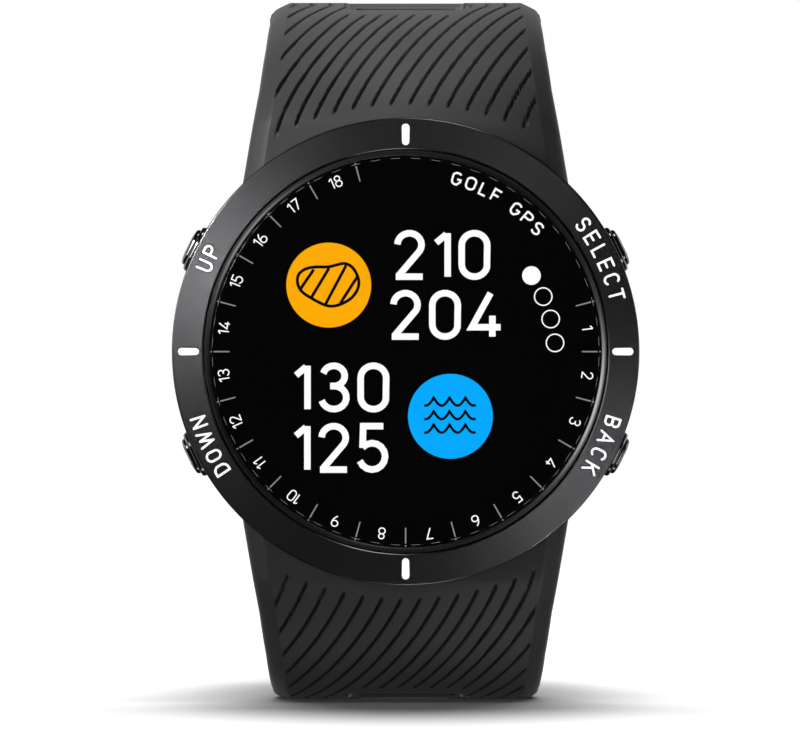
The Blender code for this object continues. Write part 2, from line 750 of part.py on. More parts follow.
def rim_heading():
    """The band's heading where it comes out from under the bezel's rim."""
    return math.asin((BEZEL_R - BAND_BEND_Z) / STRAP_FRONT_BEND)


def band_path(side):
    """One half's stretches as (length, bend radius), the last one open-ended."""
    lead = (STRAP_FRONT_BEND * (math.pi / 2 - rim_heading()), STRAP_FRONT_BEND)
    if side > 0:
        droop = (BUCKLE_DROOP_BEND * math.radians(BUCKLE_DROOP), BUCKLE_DROOP_BEND)
        return [lead, droop, (BUCKLE_RUN, None), (BUCKLE_HALF_LENGTH, BUCKLE_BACK_BEND)]
    back = (TAIL_BACK_BEND * math.pi / 2, TAIL_BACK_BEND)
    return [lead, (TAIL_RUN, None), back, (TAIL_HALF_LENGTH, None)]


def band_point(s, side):
    """The band's outer face at a distance s: (y, z, heading), heading turning from +Z to +Y."""
    heading = rim_heading()
    y = BAND_BEND_Y - STRAP_FRONT_BEND * math.cos(heading)
    z = BEZEL_R
    for length, radius in band_path(side):
        step = min(s, length)
        if radius is None:
            y += step * math.sin(heading)
            z += step * math.cos(heading)
        else:
            ahead = heading + step / radius
            y += radius * (math.cos(heading) - math.cos(ahead))
            z += radius * (math.sin(ahead) - math.sin(heading))
            heading = ahead
        s -= step
        if s <= 0.0:
            break
    return y, z, heading


def band_start():
    """The distance along the band where its full width begins."""
    heading = math.asin((STRAP_START_Z - BAND_BEND_Z) / STRAP_FRONT_BEND)
    return STRAP_FRONT_BEND * (heading - rim_heading())


def band_size(s):
    """The band's half width and thickness at a distance s."""
    s_mm = s / MM
    for (s0, w0, t0), (s1, w1, t1) in zip(BAND_STATIONS, BAND_STATIONS[1:]):
        if s_mm <= s1:
            share = max(0.0, (s_mm - s0) / (s1 - s0))
            return (w0 + share * (w1 - w0)) * MM, (t0 + share * (t1 - t0)) * MM
    return BAND_STATIONS[-1][1] * MM, BAND_STATIONS[-1][2] * MM


def band_frame(s, side):
    """The outer face's point, the way along the band and the way out of it, for one half."""
    y, z, heading = band_point(s, side)
    point = Vector((0.0, y, side * z))
    along = Vector((0.0, math.sin(heading), side * math.cos(heading)))
    out = Vector((0.0, -math.cos(heading), side * math.sin(heading)))
    return point, along, out


def band_section(s, side, width_share=1.0):
    """The eight corners of the band's section at a distance s."""
    point, _, out = band_frame(s, side)
    half, thick = band_size(s)
    half *= width_share
    margin = min(EDGE_MARGIN, half / 2)
    corners = [
        (half - margin, 0.0),
        (half, EDGE_FALL),
        (half, thick - EDGE_FALL / 2),
        (half - EDGE_FALL, thick),
    ]
    corners = [(-x, d) for x, d in corners[::-1]] + corners
    made = []
    for x, depth in corners:
        corner = point - out * depth + Vector((x, 0.0, 0.0))
        if side < 0:
            corner.z = max(corner.z, REST_Z)
        made.append(corner)
    return made


def band(stations, side):
    """The band as a loft: one eight-cornered section for each (distance, width share)."""
    bm = bmesh.new()
    loops = []
    for s, share in stations:
        loops.append([bm.verts.new(corner) for corner in band_section(s, side, share)])
    for near, far in zip(loops, loops[1:]):
        for i in range(len(near)):
            j = (i + 1) % len(near)
            bm.faces.new((near[i], near[j], far[j], far[i]))
    bm.faces.new(loops[0])
    bm.faces.new(loops[-1][::-1])
    bmesh.ops.recalc_face_normals(bm, faces=bm.faces)
    return bm


def stations_between(start, end, pitch):
    """Evenly spaced distances, both ends included."""
    count = max(2, round((end - start) / pitch))
    return [start + (end - start) * i / count for i in range(count + 1)]


def tongue(side):
    """The round-nosed tongue that the spring bar passes through."""
    nose = circle(HINGE_Y, HINGE_Z, TONGUE_R, 24)
    s = band_start() + 1.2 * MM
    point, _, out = band_frame(s, 1)
    _, thick = band_size(s)
    front = point - out * 0.3 * MM
    rear = point - out * (thick - 0.3 * MM)
    outline = convex(nose + [(front.y, front.z), (rear.y, rear.z)])
    return across([(y, side * z) for y, z in outline], -TONGUE_HALF_WIDTH, TONGUE_HALF_WIDTH)


def ear(side, hand):
    """The side wing outside each lug, which follows the bezel's rim down to a tip."""
    rim = BEZEL_R + EAR_CLEAR
    inner_x = LUG_OUTER_X + 2 * RUNNING
    top_z = STRAP_START_Z + 1.2 * MM
    half, thick = band_size(band_start())
    top_x = half - EDGE_FALL / 2
    front = band_point(band_start() + 1.2 * MM, 1)[0] + 0.3 * MM
    start = math.degrees(math.acos(inner_x / rim))
    end = math.degrees(math.acos(EAR_TIP_X / rim))
    outline = circle(0.0, 0.0, rim, 6, start, end - start)
    outline += [(EAR_TIP_X + EAR_TIP_WIDTH, outline[-1][1]), (top_x, top_z), (inner_x, top_z)]
    return extruded([(hand * x, front, side * z) for x, z in outline], (0.0, 0.6 * thick, 0.0))


def slot(s, side):
    """A round-ended slot through the band, across its width."""
    point, along, out = band_frame(s, side)
    _, thick = band_size(s)
    radius = SLOT_WIDTH / 2
    reach = SLOT_LENGTH / 2 - radius
    outline = circle(reach, 0.0, radius, 8, -90.0, 180.0)
    outline += circle(-reach, 0.0, radius, 8, 90.0, 180.0)
    top = point + out * thick
    corners = [top + Vector((x, 0.0, 0.0)) + along * u for x, u in outline]
    return extruded(corners, -out * 3 * thick)


def strap_half(name, side, stations, slots):
    """One half of the strap, hung on its spring bar and open for the adjustment slots."""
    hinge = Vector((0.0, HINGE_Y, side * HINGE_Z))
    strap = piece(name, moved(band(stations, side), -hinge), silicone(), hinge)
    root = merged(tongue(side), ear(side, 1), ear(side, -1))
    combine(strap, moved(root, -hinge), "UNION")
    openings = [slot(SLOT_START + i * SLOT_PITCH, side) for i in range(slots)]
    left = (-LUG_INNER_X, HINGE_Y, side * HINGE_Z)
    right = (LUG_INNER_X, HINGE_Y, side * HINGE_Z)
    openings.append(rod(TONGUE_BORE_R, left, right))
    combine(strap, moved(merged(*openings), -hinge), "DIFFERENCE")
    return strap


def spring_bar(name, side):
    """A bar with a thin tip at each end, across the lugs."""
    reach = LUG_INNER_X + BAR_TIP_REACH
    profile = [
        (0.0, -reach),
        (BAR_TIP_R, -reach),
        (BAR_TIP_R, -TONGUE_HALF_WIDTH),
        (BAR_R, -TONGUE_HALF_WIDTH),
        (BAR_R, TONGUE_HALF_WIDTH),
        (BAR_TIP_R, TONGUE_HALF_WIDTH),
        (BAR_TIP_R, reach),
        (0.0, reach),
    ]
    bm = spun(profile, 16)
    bmesh.ops.rotate(bm, cent=(0, 0, 0), matrix=Matrix.Rotation(-math.pi / 2, 3, "Z"), verts=bm.verts)
    piece(name, bm, steel(), (0.0, HINGE_Y, side * HINGE_Z))


def make_straps():
    """Both halves with their spring bars."""
    start = band_start()
    buckle_end = BUCKLE_HALF_LENGTH - BARREL_R
    upper = [(s, 1.0) for s in stations_between(start, buckle_end, BAND_PITCH)]
    upper_strap = strap_half("strap_upper", 1, upper, SLOTS_BUCKLE_HALF)
    add_barrel(upper_strap)
    shoulder = TAIL_HALF_LENGTH - TAIL_TIP
    lower = [(s, 1.0) for s in stations_between(start, shoulder, BAND_PITCH)]
    for step in range(1, 6):
        across_tip = step / 5
        share = math.sqrt(1 - (TIP_FULLNESS * across_tip) ** 2)
        lower.append((shoulder + TAIL_TIP * across_tip, share))
    strap_half("strap_lower", -1, lower, SLOTS_TAIL_HALF)
    spring_bar("spring_bar_upper", 1)
    spring_bar("spring_bar_lower", -1)


# ---- buckle and keepers ---------------------------------------------------------------------------


def buckle_place():
    """The buckle bar's axis point and the turn of the buckle's own frame.

    In that frame Y runs along the band away from the case and Z points out of the loop.
    """
    point, _, out = band_frame(BUCKLE_HALF_LENGTH, 1)
    _, thick = band_size(BUCKLE_HALF_LENGTH)
    heading = band_point(BUCKLE_HALF_LENGTH, 1)[2]
    return point - out * thick / 2, (math.pi / 2 - heading, 0.0, 0.0)


def in_buckle_frame(outline, left, right):
    """A prism across X with its outline in the buckle's own (y, z)."""
    return extruded([(left, y, z) for y, z in outline], (right - left, 0.0, 0.0))


def buckle_matrix(target):
    """The change from the buckle's own frame to a target piece's own coordinates."""
    place, turn = buckle_place()
    matrix = Matrix.Translation(place - Vector(target.location))
    return matrix @ Matrix.Rotation(turn[0], 4, "X")


def add_barrel(strap):
    """The rolled end of the buckle half: a bored barrel with a gap for the tang."""
    half, thick = band_size(BUCKLE_HALF_LENGTH)
    half -= EDGE_FALL / 3
    rear = -BARREL_R - 0.8 * MM
    depth = thick / 2 - 0.25 * MM
    outline = convex(circle(0.0, 0.0, BARREL_R, 20) + [(rear, depth), (rear, -depth)])
    barrel = in_buckle_frame(outline, -half, half)
    change = buckle_matrix(strap)
    bmesh.ops.transform(barrel, matrix=change, verts=barrel.verts)
    combine(strap, barrel, "UNION")
    bore = rod(BUCKLE_BAR_R + RUNNING, (-2 * half, 0, 0), (2 * half, 0, 0))
    notch_half = TANG_HALF_WIDTH + TANG_CLEAR
    reach = BARREL_R + TANG_CLEAR
    notch = block((2 * notch_half, 2 * reach, 4 * reach), (0.0, 0.0, 0.0))
    cut = merged(notch)
    bmesh.ops.transform(cut, matrix=change, verts=cut.verts)
    combine(strap, cut, "DIFFERENCE")
    bmesh.ops.transform(bore, matrix=change, verts=bore.verts)
    combine(strap, bore, "DIFFERENCE")


def make_buckle():
    """The bar, the frame that turns on it and the wide tang between them."""
    place, turn = buckle_place()
    half, _ = band_size(BUCKLE_HALF_LENGTH)
    inner = half + FRAME_CLEAR
    outer = inner + FRAME_ARM
    bar = rod(BUCKLE_BAR_R, (-outer + 0.3 * MM, 0, 0), (outer - 0.3 * MM, 0, 0))
    piece("buckle_bar", bar, steel(), place, turn)
    thick = FRAME_THICKNESS / 2
    far = FRAME_LENGTH - FRAME_CROSSBAR
    corner = FRAME_CROSSBAR
    outline = [
        (-outer, 0.0),
        (-outer, FRAME_LENGTH - corner),
        (-outer + corner / 2, FRAME_LENGTH - corner / 4),
        (-outer + corner, FRAME_LENGTH),
        (outer - corner, FRAME_LENGTH),
        (outer - corner / 2, FRAME_LENGTH - corner / 4),
        (outer, FRAME_LENGTH - corner),
        (outer, 0.0),
        (inner, 0.0),
        (inner, far),
        (-inner, far),
        (-inner, 0.0),
    ]
    frame = extruded([(x, y, -thick) for x, y in outline], (0.0, 0.0, 2 * thick))
    buckle = piece("buckle_frame", frame, polished_metal(), place, turn)
    eyes = []
    for hand in (1, -1):
        eyes.append(rod(FRAME_EYE_R, (hand * inner, 0, 0), (hand * outer, 0, 0), 20))
    combine(buckle, merged(*eyes), "UNION")
    bore = rod(BUCKLE_BAR_R + RUNNING, (-outer - GAP, 0, 0), (outer + GAP, 0, 0))
    combine(buckle, bore, "DIFFERENCE")
    make_tang(place, turn, thick)


def make_tang(place, turn, frame_half_thickness):
    """The tang: a ring round the bar and a wide blade that rests on the crossbar."""
    root = BUCKLE_BAR_R + RUNNING + TANG_THICKNESS * 0.75
    rest = frame_half_thickness + GAP
    blade = [
        (0.0, 0.2 * MM),
        (0.0, root - 0.1 * MM),
        (FRAME_LENGTH * 0.5, rest + TANG_THICKNESS),
        (FRAME_LENGTH, rest + TANG_THICKNESS * 0.8),
        (FRAME_LENGTH, rest),
        (FRAME_LENGTH - FRAME_CROSSBAR * 1.3, rest),
        (FRAME_LENGTH * 0.45, 0.3 * MM),
    ]
    tang_bm = in_buckle_frame(blade, -TANG_HALF_WIDTH, TANG_HALF_WIDTH)
    tang = piece("buckle_tang", tang_bm, polished_metal(), place, turn)
    hub = rod(root, (-TANG_HALF_WIDTH, 0, 0), (TANG_HALF_WIDTH, 0, 0), 20)
    combine(tang, hub, "UNION")
    reach = TANG_HALF_WIDTH + GAP
    combine(tang, rod(BUCKLE_BAR_R + RUNNING, (-reach, 0, 0), (reach, 0, 0)), "DIFFERENCE")


def keeper(name, at, widest_at):
    """A band loop round the strap, with room for the tail over it."""
    point, _, _ = band_frame(at, 1)
    heading = band_point(at, 1)[2]
    half = band_size(widest_at)[0] + KEEPER_CLEAR
    thick = band_size(widest_at)[1]
    low = -thick - KEEPER_CLEAR
    high = KEEPER_ROOM
    wall = KEEPER_WALL
    outer = block_between((-half - wall, -KEEPER_WIDTH / 2, low - wall), (half + wall, KEEPER_WIDTH / 2, high + wall))
    upright = [e for e in outer.edges if abs(e.verts[0].co.y - e.verts[1].co.y) > KEEPER_WIDTH / 2]
    bmesh.ops.bevel(outer, geom=upright, offset=wall, segments=3, affect="EDGES", profile=0.5)
    made = piece(name, outer, silicone(), point, (math.pi / 2 - heading, 0.0, 0.0))
    hole = block_between((-half, -KEEPER_WIDTH, low), (half, KEEPER_WIDTH, high))
    combine(made, hole, "DIFFERENCE")


def block_between(low, high):
    """A rectangular block between two corners."""
    low = Vector(low)
    high = Vector(high)
    return block(high - low, (low + high) / 2)


def build():
    """Make the whole watch."""
    clear_scene()
    watch_frame = bpy.data.objects.new("watch_frame", None)
    watch_frame.location = (0.0, -STRAP_BACK_Y / 2, -REST_Z)
    bpy.context.scene.collection.objects.link(watch_frame)
    make_bezel()
    make_glass()
    make_display()
    make_case()
    make_back()
    make_electronics()
    for name, angle in BUTTON_ANGLES.items():
        make_button(name, angle)
    make_straps()
    make_buckle()
    keeper("fixed_keeper", FIXED_KEEPER_AT, FIXED_KEEPER_AT - KEEPER_WIDTH / 2)
    keeper("free_keeper", FREE_KEEPER_AT, FREE_KEEPER_AT - KEEPER_WIDTH / 2 - FREE_KEEPER_BACK)
    bpy.context.view_layer.update()


build()
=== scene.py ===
# %% [markdown]
# # A golf GPS watch
# A round sports watch stands on its open silicone strap. Its parts were drawn and packed before, as plain
# solids. This lesson puts finished surfaces round them: turned metal, moulded rubber, glass and a lit
# screen. Every length here is written in millimetres and turned into metres only where a mesh is made.

import math

import bmesh
import bpy
import numpy as np
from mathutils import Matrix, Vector

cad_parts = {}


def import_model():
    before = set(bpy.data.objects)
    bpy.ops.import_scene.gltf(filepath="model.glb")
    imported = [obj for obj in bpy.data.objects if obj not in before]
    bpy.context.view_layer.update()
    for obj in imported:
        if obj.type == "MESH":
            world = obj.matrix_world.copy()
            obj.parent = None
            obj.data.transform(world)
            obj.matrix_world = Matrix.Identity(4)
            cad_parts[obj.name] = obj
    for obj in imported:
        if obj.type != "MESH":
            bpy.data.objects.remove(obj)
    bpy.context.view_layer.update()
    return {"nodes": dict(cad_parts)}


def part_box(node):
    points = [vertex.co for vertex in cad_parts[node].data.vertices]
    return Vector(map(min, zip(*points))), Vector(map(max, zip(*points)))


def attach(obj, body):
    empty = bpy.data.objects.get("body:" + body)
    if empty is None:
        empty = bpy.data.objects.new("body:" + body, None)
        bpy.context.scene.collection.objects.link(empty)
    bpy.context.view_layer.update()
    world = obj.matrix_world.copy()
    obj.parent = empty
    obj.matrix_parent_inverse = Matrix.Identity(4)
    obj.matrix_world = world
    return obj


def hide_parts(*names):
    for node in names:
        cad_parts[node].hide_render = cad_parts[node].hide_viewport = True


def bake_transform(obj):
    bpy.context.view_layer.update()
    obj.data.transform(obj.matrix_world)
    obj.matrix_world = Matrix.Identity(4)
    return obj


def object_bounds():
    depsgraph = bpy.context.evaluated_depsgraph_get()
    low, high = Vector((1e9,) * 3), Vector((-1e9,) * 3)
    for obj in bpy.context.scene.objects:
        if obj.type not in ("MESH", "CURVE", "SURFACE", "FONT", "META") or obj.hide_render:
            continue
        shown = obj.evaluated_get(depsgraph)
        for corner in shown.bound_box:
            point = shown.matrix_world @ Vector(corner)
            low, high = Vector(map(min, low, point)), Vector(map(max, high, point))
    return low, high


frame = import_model()
MM = 0.001

# %% [markdown]
# ## Where the watch is
# The dial's centre is the origin of all that follows: x runs to 3 o'clock, z to 12 o'clock and y goes back
# from the front of the bezel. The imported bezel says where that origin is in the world.

# %% The dial's own coordinates
bezel_low, bezel_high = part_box("bezel")
DIAL_X = (bezel_low.x + bezel_high.x) / 2 / MM
DIAL_Z = (bezel_low.z + bezel_high.z) / 2 / MM
FRONT_Y = bezel_low.y / MM
BEZEL_R = (bezel_high.x - bezel_low.x) / 2 / MM
ORIGIN = np.array([DIAL_X, FRONT_Y, DIAL_Z])


def world(x, y, z):
    """Dial coordinates in millimetres to an array of world points in metres."""
    x, y, z = np.broadcast_arrays(x, y, z)
    return (np.stack([x, y, z], -1) + ORIGIN) * MM


print(f"dial centre {DIAL_X:.2f}, {FRONT_Y:.2f}, {DIAL_Z:.2f} mm, bezel radius {BEZEL_R:.2f} mm")

# %% [markdown]
# ## Camera
# The view is straight on, from a metre away through a long lens, so the round dial stays round. The lens
# follows from how much the view takes in at the dial: focal length = sensor width * distance / view width.

# %% Camera
VIEW_DISTANCE = 1000.0
VIEW_WIDTH = 78.663
DIAL_RIGHT, DIAL_UP = 0.5546, 2.3029  # where the dial stands from the middle of the view
SENSOR = 36.0

camera_data = bpy.data.cameras.new("camera")
camera = bpy.data.objects.new("camera", camera_data)
bpy.context.scene.collection.objects.link(camera)
camera_data.sensor_width = SENSOR
camera_data.lens = SENSOR * VIEW_DISTANCE / VIEW_WIDTH
camera.location = world(-DIAL_RIGHT, -VIEW_DISTANCE, -DIAL_UP)
camera.rotation_euler = (math.pi / 2, 0.0, 0.0)
camera_data.clip_start, camera_data.clip_end = 0.01, 100.0
bpy.context.scene.camera = camera
bpy.context.scene.view_settings.view_transform = "Standard"
print(f"lens {camera_data.lens:.1f} mm")

# %% [markdown]
# ## Colours and nodes
# Colours are given as the hex values that a designer would write, which are sRGB, and shaders want linear
# light. One function adds a node: its settings, its values and its links are all in the one call.


# %% Colour and node helpers
def linear(hex_colour):
    """sRGB hex to linear: below 0.04045 divide by 12.92, else ((c + 0.055) / 1.055) to the power 2.4."""
    c = np.array([int(hex_colour[i : i + 2], 16) / 255 for i in (1, 3, 5)])
    c = np.where(c <= 0.04045, c / 12.92, ((c + 0.055) / 1.055) ** 2.4)
    return (*c.tolist(), 1.0)


def add(tree, kind, settings=None, **inputs):
    """Adds a node. Settings are its own properties. Inputs are values, or sockets to link, with _ for a
    space, and an underscore with a number stands for the input of that number."""
    made = tree.nodes.new(kind)
    for name, value in (settings or {}).items():
        setattr(made, name, value)
    for name, value in inputs.items():
        key = int(name[1:]) if name[0] == "_" else name.replace("_", " ")
        if isinstance(value, bpy.types.NodeSocket):
            tree.links.new(value, made.inputs[key])
        else:
            made.inputs[key].default_value = value
    return made


def new_finish(name):
    """An empty material: its node tree and its output node."""
    finish = bpy.data.materials.new(name)
    finish.use_nodes = True
    tree = finish.node_tree
    tree.nodes.clear()
    return finish, tree, add(tree, "ShaderNodeOutputMaterial")


def grain(tree, size_mm, detail=2.0, roughness=0.5):
    """Cloudy noise from -0.5 to 0.5 whose lumps are about size_mm across, in Object coordinates."""
    place = add(tree, "ShaderNodeTexCoord").outputs["Object"]
    scale = 1 / (size_mm * MM)
    noise = add(tree, "ShaderNodeTexNoise", Vector=place, Scale=scale, Detail=detail, Roughness=roughness)
    return add(tree, "ShaderNodeMath", {"operation": "SUBTRACT"}, _0=noise.outputs["Fac"], _1=0.5).outputs[0]


def scaled(tree, value, by, plus=0.0):
    """value * by + plus."""
    return add(tree, "ShaderNodeMath", {"operation": "MULTIPLY_ADD"}, _0=value, _1=by, _2=plus).outputs[0]


def tinted(tree, share, low, high):
    """A colour between two hex colours, by a share from 0 to 1."""
    mix = add(tree, "ShaderNodeMix", {"data_type": "RGBA"})
    tree.links.new(share, mix.inputs["Factor"])
    mix.inputs[6].default_value = linear(low)
    mix.inputs[7].default_value = linear(high)
    return mix.outputs[2]


def bumped(tree, height, depth_mm):
    """Surface relief from a height of about one unit, depth_mm deep."""
    return add(tree, "ShaderNodeBump", Strength=1.0, Distance=depth_mm * MM, Height=height).outputs["Normal"]


print("helpers ready")

# %% [markdown]
# ## Finishes
# The silicone is compression moulded against a spark-eroded steel tool, so it is dull with a very fine
# skin. Its real grain, about 0.03 mm, is too fine to show and is drawn at 0.12 mm.


# %% Silicone rubber
def moulded_silicone(name, colour_low, colour_high):
    """Dull rubber: fine grain moves its roughness and its relief, and a slow cloud moves its colour."""
    finish, tree, out = new_finish(name)
    skin = grain(tree, 0.12, 3.0)
    cloud = grain(tree, 6.0, 2.0)
    shade = scaled(tree, cloud, 1.2, 0.5)
    shader = add(
        tree,
        "ShaderNodeBsdfPrincipled",
        Base_Color=tinted(tree, shade, colour_low, colour_high),
        Roughness=scaled(tree, skin, 0.16, 0.52),
        Normal=bumped(tree, skin, 0.012),
        IOR=1.41,
    )
    shader.inputs["Sheen Weight"].default_value = 0.06
    shader.inputs["Sheen Roughness"].default_value = 0.5
    tree.links.new(shader.outputs[0], out.inputs[0])
    return finish


silicone_rubber = moulded_silicone("silicone_rubber_moulded_black", "#363636", "#3c3c3c")
print(silicone_rubber.name)

# %% [markdown]
# The bezel is bead-blasted steel with a black vapour-deposited coat. Blasting leaves pits of about 0.05 mm,
# which spread every reflection. They are drawn at 0.09 mm so that they show. The buttons have the same coat
# on polished steel, and the buckle is the same steel without it.


# %% Metals
def metal(name, colour_low, colour_high, roughness, pit_mm, pit_depth_mm, wear):
    """Pitted metal: roughness + wear * pits, with the same pits as relief pit_depth_mm deep."""
    finish, tree, out = new_finish(name)
    pits = grain(tree, pit_mm, 2.0, 0.6)
    cloud = grain(tree, 4.0, 3.0)
    shader = add(
        tree,
        "ShaderNodeBsdfPrincipled",
        Base_Color=tinted(tree, scaled(tree, cloud, 1.0, 0.5), colour_low, colour_high),
        Metallic=1.0,
        Roughness=scaled(tree, pits, wear, roughness),
        Normal=bumped(tree, pits, pit_depth_mm),
    )
    tree.links.new(shader.outputs[0], out.inputs[0])
    return finish


blasted_steel = metal("steel_bead_blasted_black_pvd", "#5c5c5e", "#646466", 0.20, 0.11, 0.003, 0.06)
mirror_steel = metal("steel_polished_black_pvd", "#6f6f72", "#77777a", 0.10, 0.3, 0.0006, 0.03)
ring_steel = metal("steel_satin_black_pvd", "#6a6a6c", "#727274", 0.30, 0.2, 0.001, 0.05)
bright_steel = metal("steel_polished_plain", "#b4b2ae", "#bdbbb7", 0.18, 0.3, 0.0008, 0.05)
gold_contact = metal("gold_plate_on_brass", "#d9a94a", "#e3b65a", 0.24, 0.2, 0.001, 0.06)
print("metals:", blasted_steel.name, mirror_steel.name, ring_steel.name, bright_steel.name, gold_contact.name)

# %% [markdown]
# The case wall is glass-filled nylon, moulded with a light spark texture. The same recipe, in other
# colours, does for the seals, the board and the other parts inside.


# %% Plastics and coatings
def moulded(name, colour_low, colour_high, roughness, lump_mm=0.15, depth_mm=0.01, ior=1.5):
    """A plain solid with a skin of lumps lump_mm across and depth_mm deep, which also move its roughness."""
    finish, tree, out = new_finish(name)
    skin = grain(tree, lump_mm, 3.0)
    shader = add(
        tree,
        "ShaderNodeBsdfPrincipled",
        Base_Color=tinted(tree, scaled(tree, grain(tree, 3.0), 1.0, 0.5), colour_low, colour_high),
        Roughness=scaled(tree, skin, 0.12, roughness),
        Normal=bumped(tree, skin, depth_mm),
        IOR=ior,
    )
    tree.links.new(shader.outputs[0], out.inputs[0])
    return finish


filled_nylon = moulded("nylon_glass_filled_black", "#1b1b1c", "#202022", 0.50)
nitrile_seal = moulded("nitrile_rubber_black", "#161616", "#1b1b1b", 0.70)
# The enamel is given a painted glow, an emission that is most of its brightness in the view.
enamel_white = moulded("enamel_painted_glow_white", "#f6f6f3", "#fdfdfb", 0.34, 0.4, 0.002)
glowing = enamel_white.node_tree.nodes["Principled BSDF"]
glowing.inputs["Emission Color"].default_value = linear("#fbfbff")
glowing.inputs["Emission Strength"].default_value = 0.8
# A near-black plate that paints the shadow in the engraved cuts round the letters and marks.
groove_shade = moulded("painted_cut_shadow_black", "#060606", "#0a0a0a", 0.5, 0.3, 0.001)
dial_black = moulded("lacquer_black_under_glass", "#010101", "#020202", 0.20, 0.4, 0.0, 1.05)
diffuser_sheet = moulded("pet_diffuser_white", "#dcdcd8", "#e8e8e4", 0.6, 0.5, 0.002)
solder_mask = moulded("fibreglass_green_solder_mask", "#12432a", "#185236", 0.35, 0.6, 0.004)
alumina = moulded("alumina_ceramic_tan", "#b89f78", "#c6ae88", 0.55, 0.3, 0.003)
pouch_foil = moulded("aluminium_foil_laminate", "#8f9296", "#a2a5a8", 0.35, 1.2, 0.02)
print("coatings ready")

# %% [markdown]
# The screen sends out its own light. A lit colour is an emission with a faint grid, as a display's cells
# give; the cells are 0.05 mm on a real screen and are drawn at 0.11 mm. The crystal is plain mineral glass.


# %% Lit screen colours and the glass
CELL = 0.11


def lit(name, hex_colour, strength):
    """A light of one colour, each other cell 6 % dimmer, on an almost black screen."""
    finish, tree, out = new_finish(name)
    place = add(tree, "ShaderNodeTexCoord").outputs["Object"]
    cells = add(tree, "ShaderNodeTexChecker", Vector=place, Scale=1 / (CELL * MM)).outputs["Fac"]
    full = np.array(linear(hex_colour))
    gap = (*(full[:3] * 0.94).tolist(), 1.0)
    glow = add(tree, "ShaderNodeMix", {"data_type": "RGBA"}, Factor=cells, _6=gap, _7=tuple(full)).outputs[2]
    black = linear("#101010")
    shader = add(tree, "ShaderNodeBsdfPrincipled", Base_Color=black, Roughness=0.3, IOR=1.05)
    tree.links.new(glow, shader.inputs["Emission Color"])
    shader.inputs["Emission Strength"].default_value = strength
    tree.links.new(shader.outputs[0], out.inputs[0])
    return finish


# The white and the grey also light the print on the black ring round the screen: its numbers, ticks, dashes
# and words. There the emission is a painted glow, as print gives out no light of its own.
screen_and_print_glow_white = lit("display_cell_and_print_glow_white", "#ffffff", 1.12)
print_glow_grey = lit("print_grey_painted_glow", "#8c8c8c", 1.05)
lit_orange = lit("display_cell_orange", "#ffac00", 1.1)
lit_blue = lit("display_cell_blue", "#00aaff", 1.1)


def crystal(name):
    """Clear glass, very slightly uneven in its polish."""
    finish, tree, out = new_finish(name)
    smear = grain(tree, 5.0, 3.0)
    shader = add(
        tree,
        "ShaderNodeBsdfPrincipled",
        Base_Color=linear("#ffffff"),
        Roughness=scaled(tree, smear, 0.01, 0.012),
        IOR=1.5,
    )
    shader.inputs["Transmission Weight"].default_value = 1.0
    tree.links.new(shader.outputs[0], out.inputs[0])
    return finish


mineral_glass = crystal("mineral_glass_clear")
print("screen colours and glass ready")

# %% [markdown]
# ## Turning points into pieces
# A piece is a closed skin of faces. `grid_faces` numbers the four-sided faces of a sheet of points, and
# `make_piece` puts points and faces into a mesh, closes its seams, points it outwards and hangs it on its
# body.


# %% Mesh helpers
def grid_faces(rows, columns, wrap_rows=False, wrap_columns=False):
    """Faces of a rows x columns sheet: (i, j), (i, j+1), (i+1, j+1), (i+1, j), wrapping round where asked."""
    i = np.arange(rows if wrap_rows else rows - 1)[:, None]
    j = np.arange(columns if wrap_columns else columns - 1)[None, :]
    below_i, right_j = (i + 1) % rows, (j + 1) % columns
    corners = [i * columns + j, i * columns + right_j, below_i * columns + right_j, below_i * columns + j]
    return np.stack(np.broadcast_arrays(*corners), -1).reshape(-1, 4)


def make_piece(name, points, faces, body, finish, slot, stands_for=(), sharp_angle=35.0):
    """Points in metres and lists of faces become one closed, outward, smooth-shaded piece on a body."""
    mesh = bpy.data.meshes.new(name)
    faces = [f for group in faces for f in np.asarray(group).tolist()]
    mesh.from_pydata(np.asarray(points).reshape(-1, 3).tolist(), [], faces)
    bm = bmesh.new()
    bm.from_mesh(mesh)
    bmesh.ops.remove_doubles(bm, verts=bm.verts, dist=0.0002 * MM)
    bmesh.ops.dissolve_degenerate(bm, edges=bm.edges, dist=0.0002 * MM)
    bmesh.ops.recalc_face_normals(bm, faces=bm.faces)
    bm.to_mesh(mesh)
    open_edges = sum(1 for e in bm.edges if not e.is_manifold)
    bm.free()
    mesh.shade_smooth()
    mesh.set_sharp_from_angle(angle=math.radians(sharp_angle))
    piece = bpy.data.objects.new(name, mesh)
    bpy.context.scene.collection.objects.link(piece)
    mesh.materials.append(finish)
    if isinstance(body, str):
        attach(piece, body)
    if stands_for:
        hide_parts(*stands_for)
    print(f"{name}: {len(mesh.polygons)} faces, {open_edges} open edges")
    return piece


def gathered(parts):
    """Several (points, faces) as one: each part's faces count on from the points before it."""
    points, faces, count = [], [], 0
    for part_points, part_faces in parts:
        points.append(part_points.reshape(-1, 3))
        faces += [group + count for group in part_faces]
        count += len(points[-1])
    return np.concatenate(points), faces


def eased(corners, setback, steps=4):
    """A closed outline with each corner turned into a curve: (1-t)^2 A + 2t(1-t) P + t^2 B, with A and B one
    setback from the corner P towards its neighbours."""
    p = np.asarray(corners, float)
    before, after = np.roll(p, 1, 0) - p, np.roll(p, -1, 0) - p
    reach_before = np.minimum(setback, np.linalg.norm(before, axis=1) / 2.01)[:, None]
    reach_after = np.minimum(setback, np.linalg.norm(after, axis=1) / 2.01)[:, None]
    a = p + before / np.linalg.norm(before, axis=1)[:, None] * reach_before
    b = p + after / np.linalg.norm(after, axis=1)[:, None] * reach_after
    t = np.linspace(0, 1, steps)[None, :, None]
    curves = (1 - t) ** 2 * a[:, None] + 2 * t * (1 - t) * p[:, None] + t**2 * b[:, None]
    return curves.reshape(-1, p.shape[1])


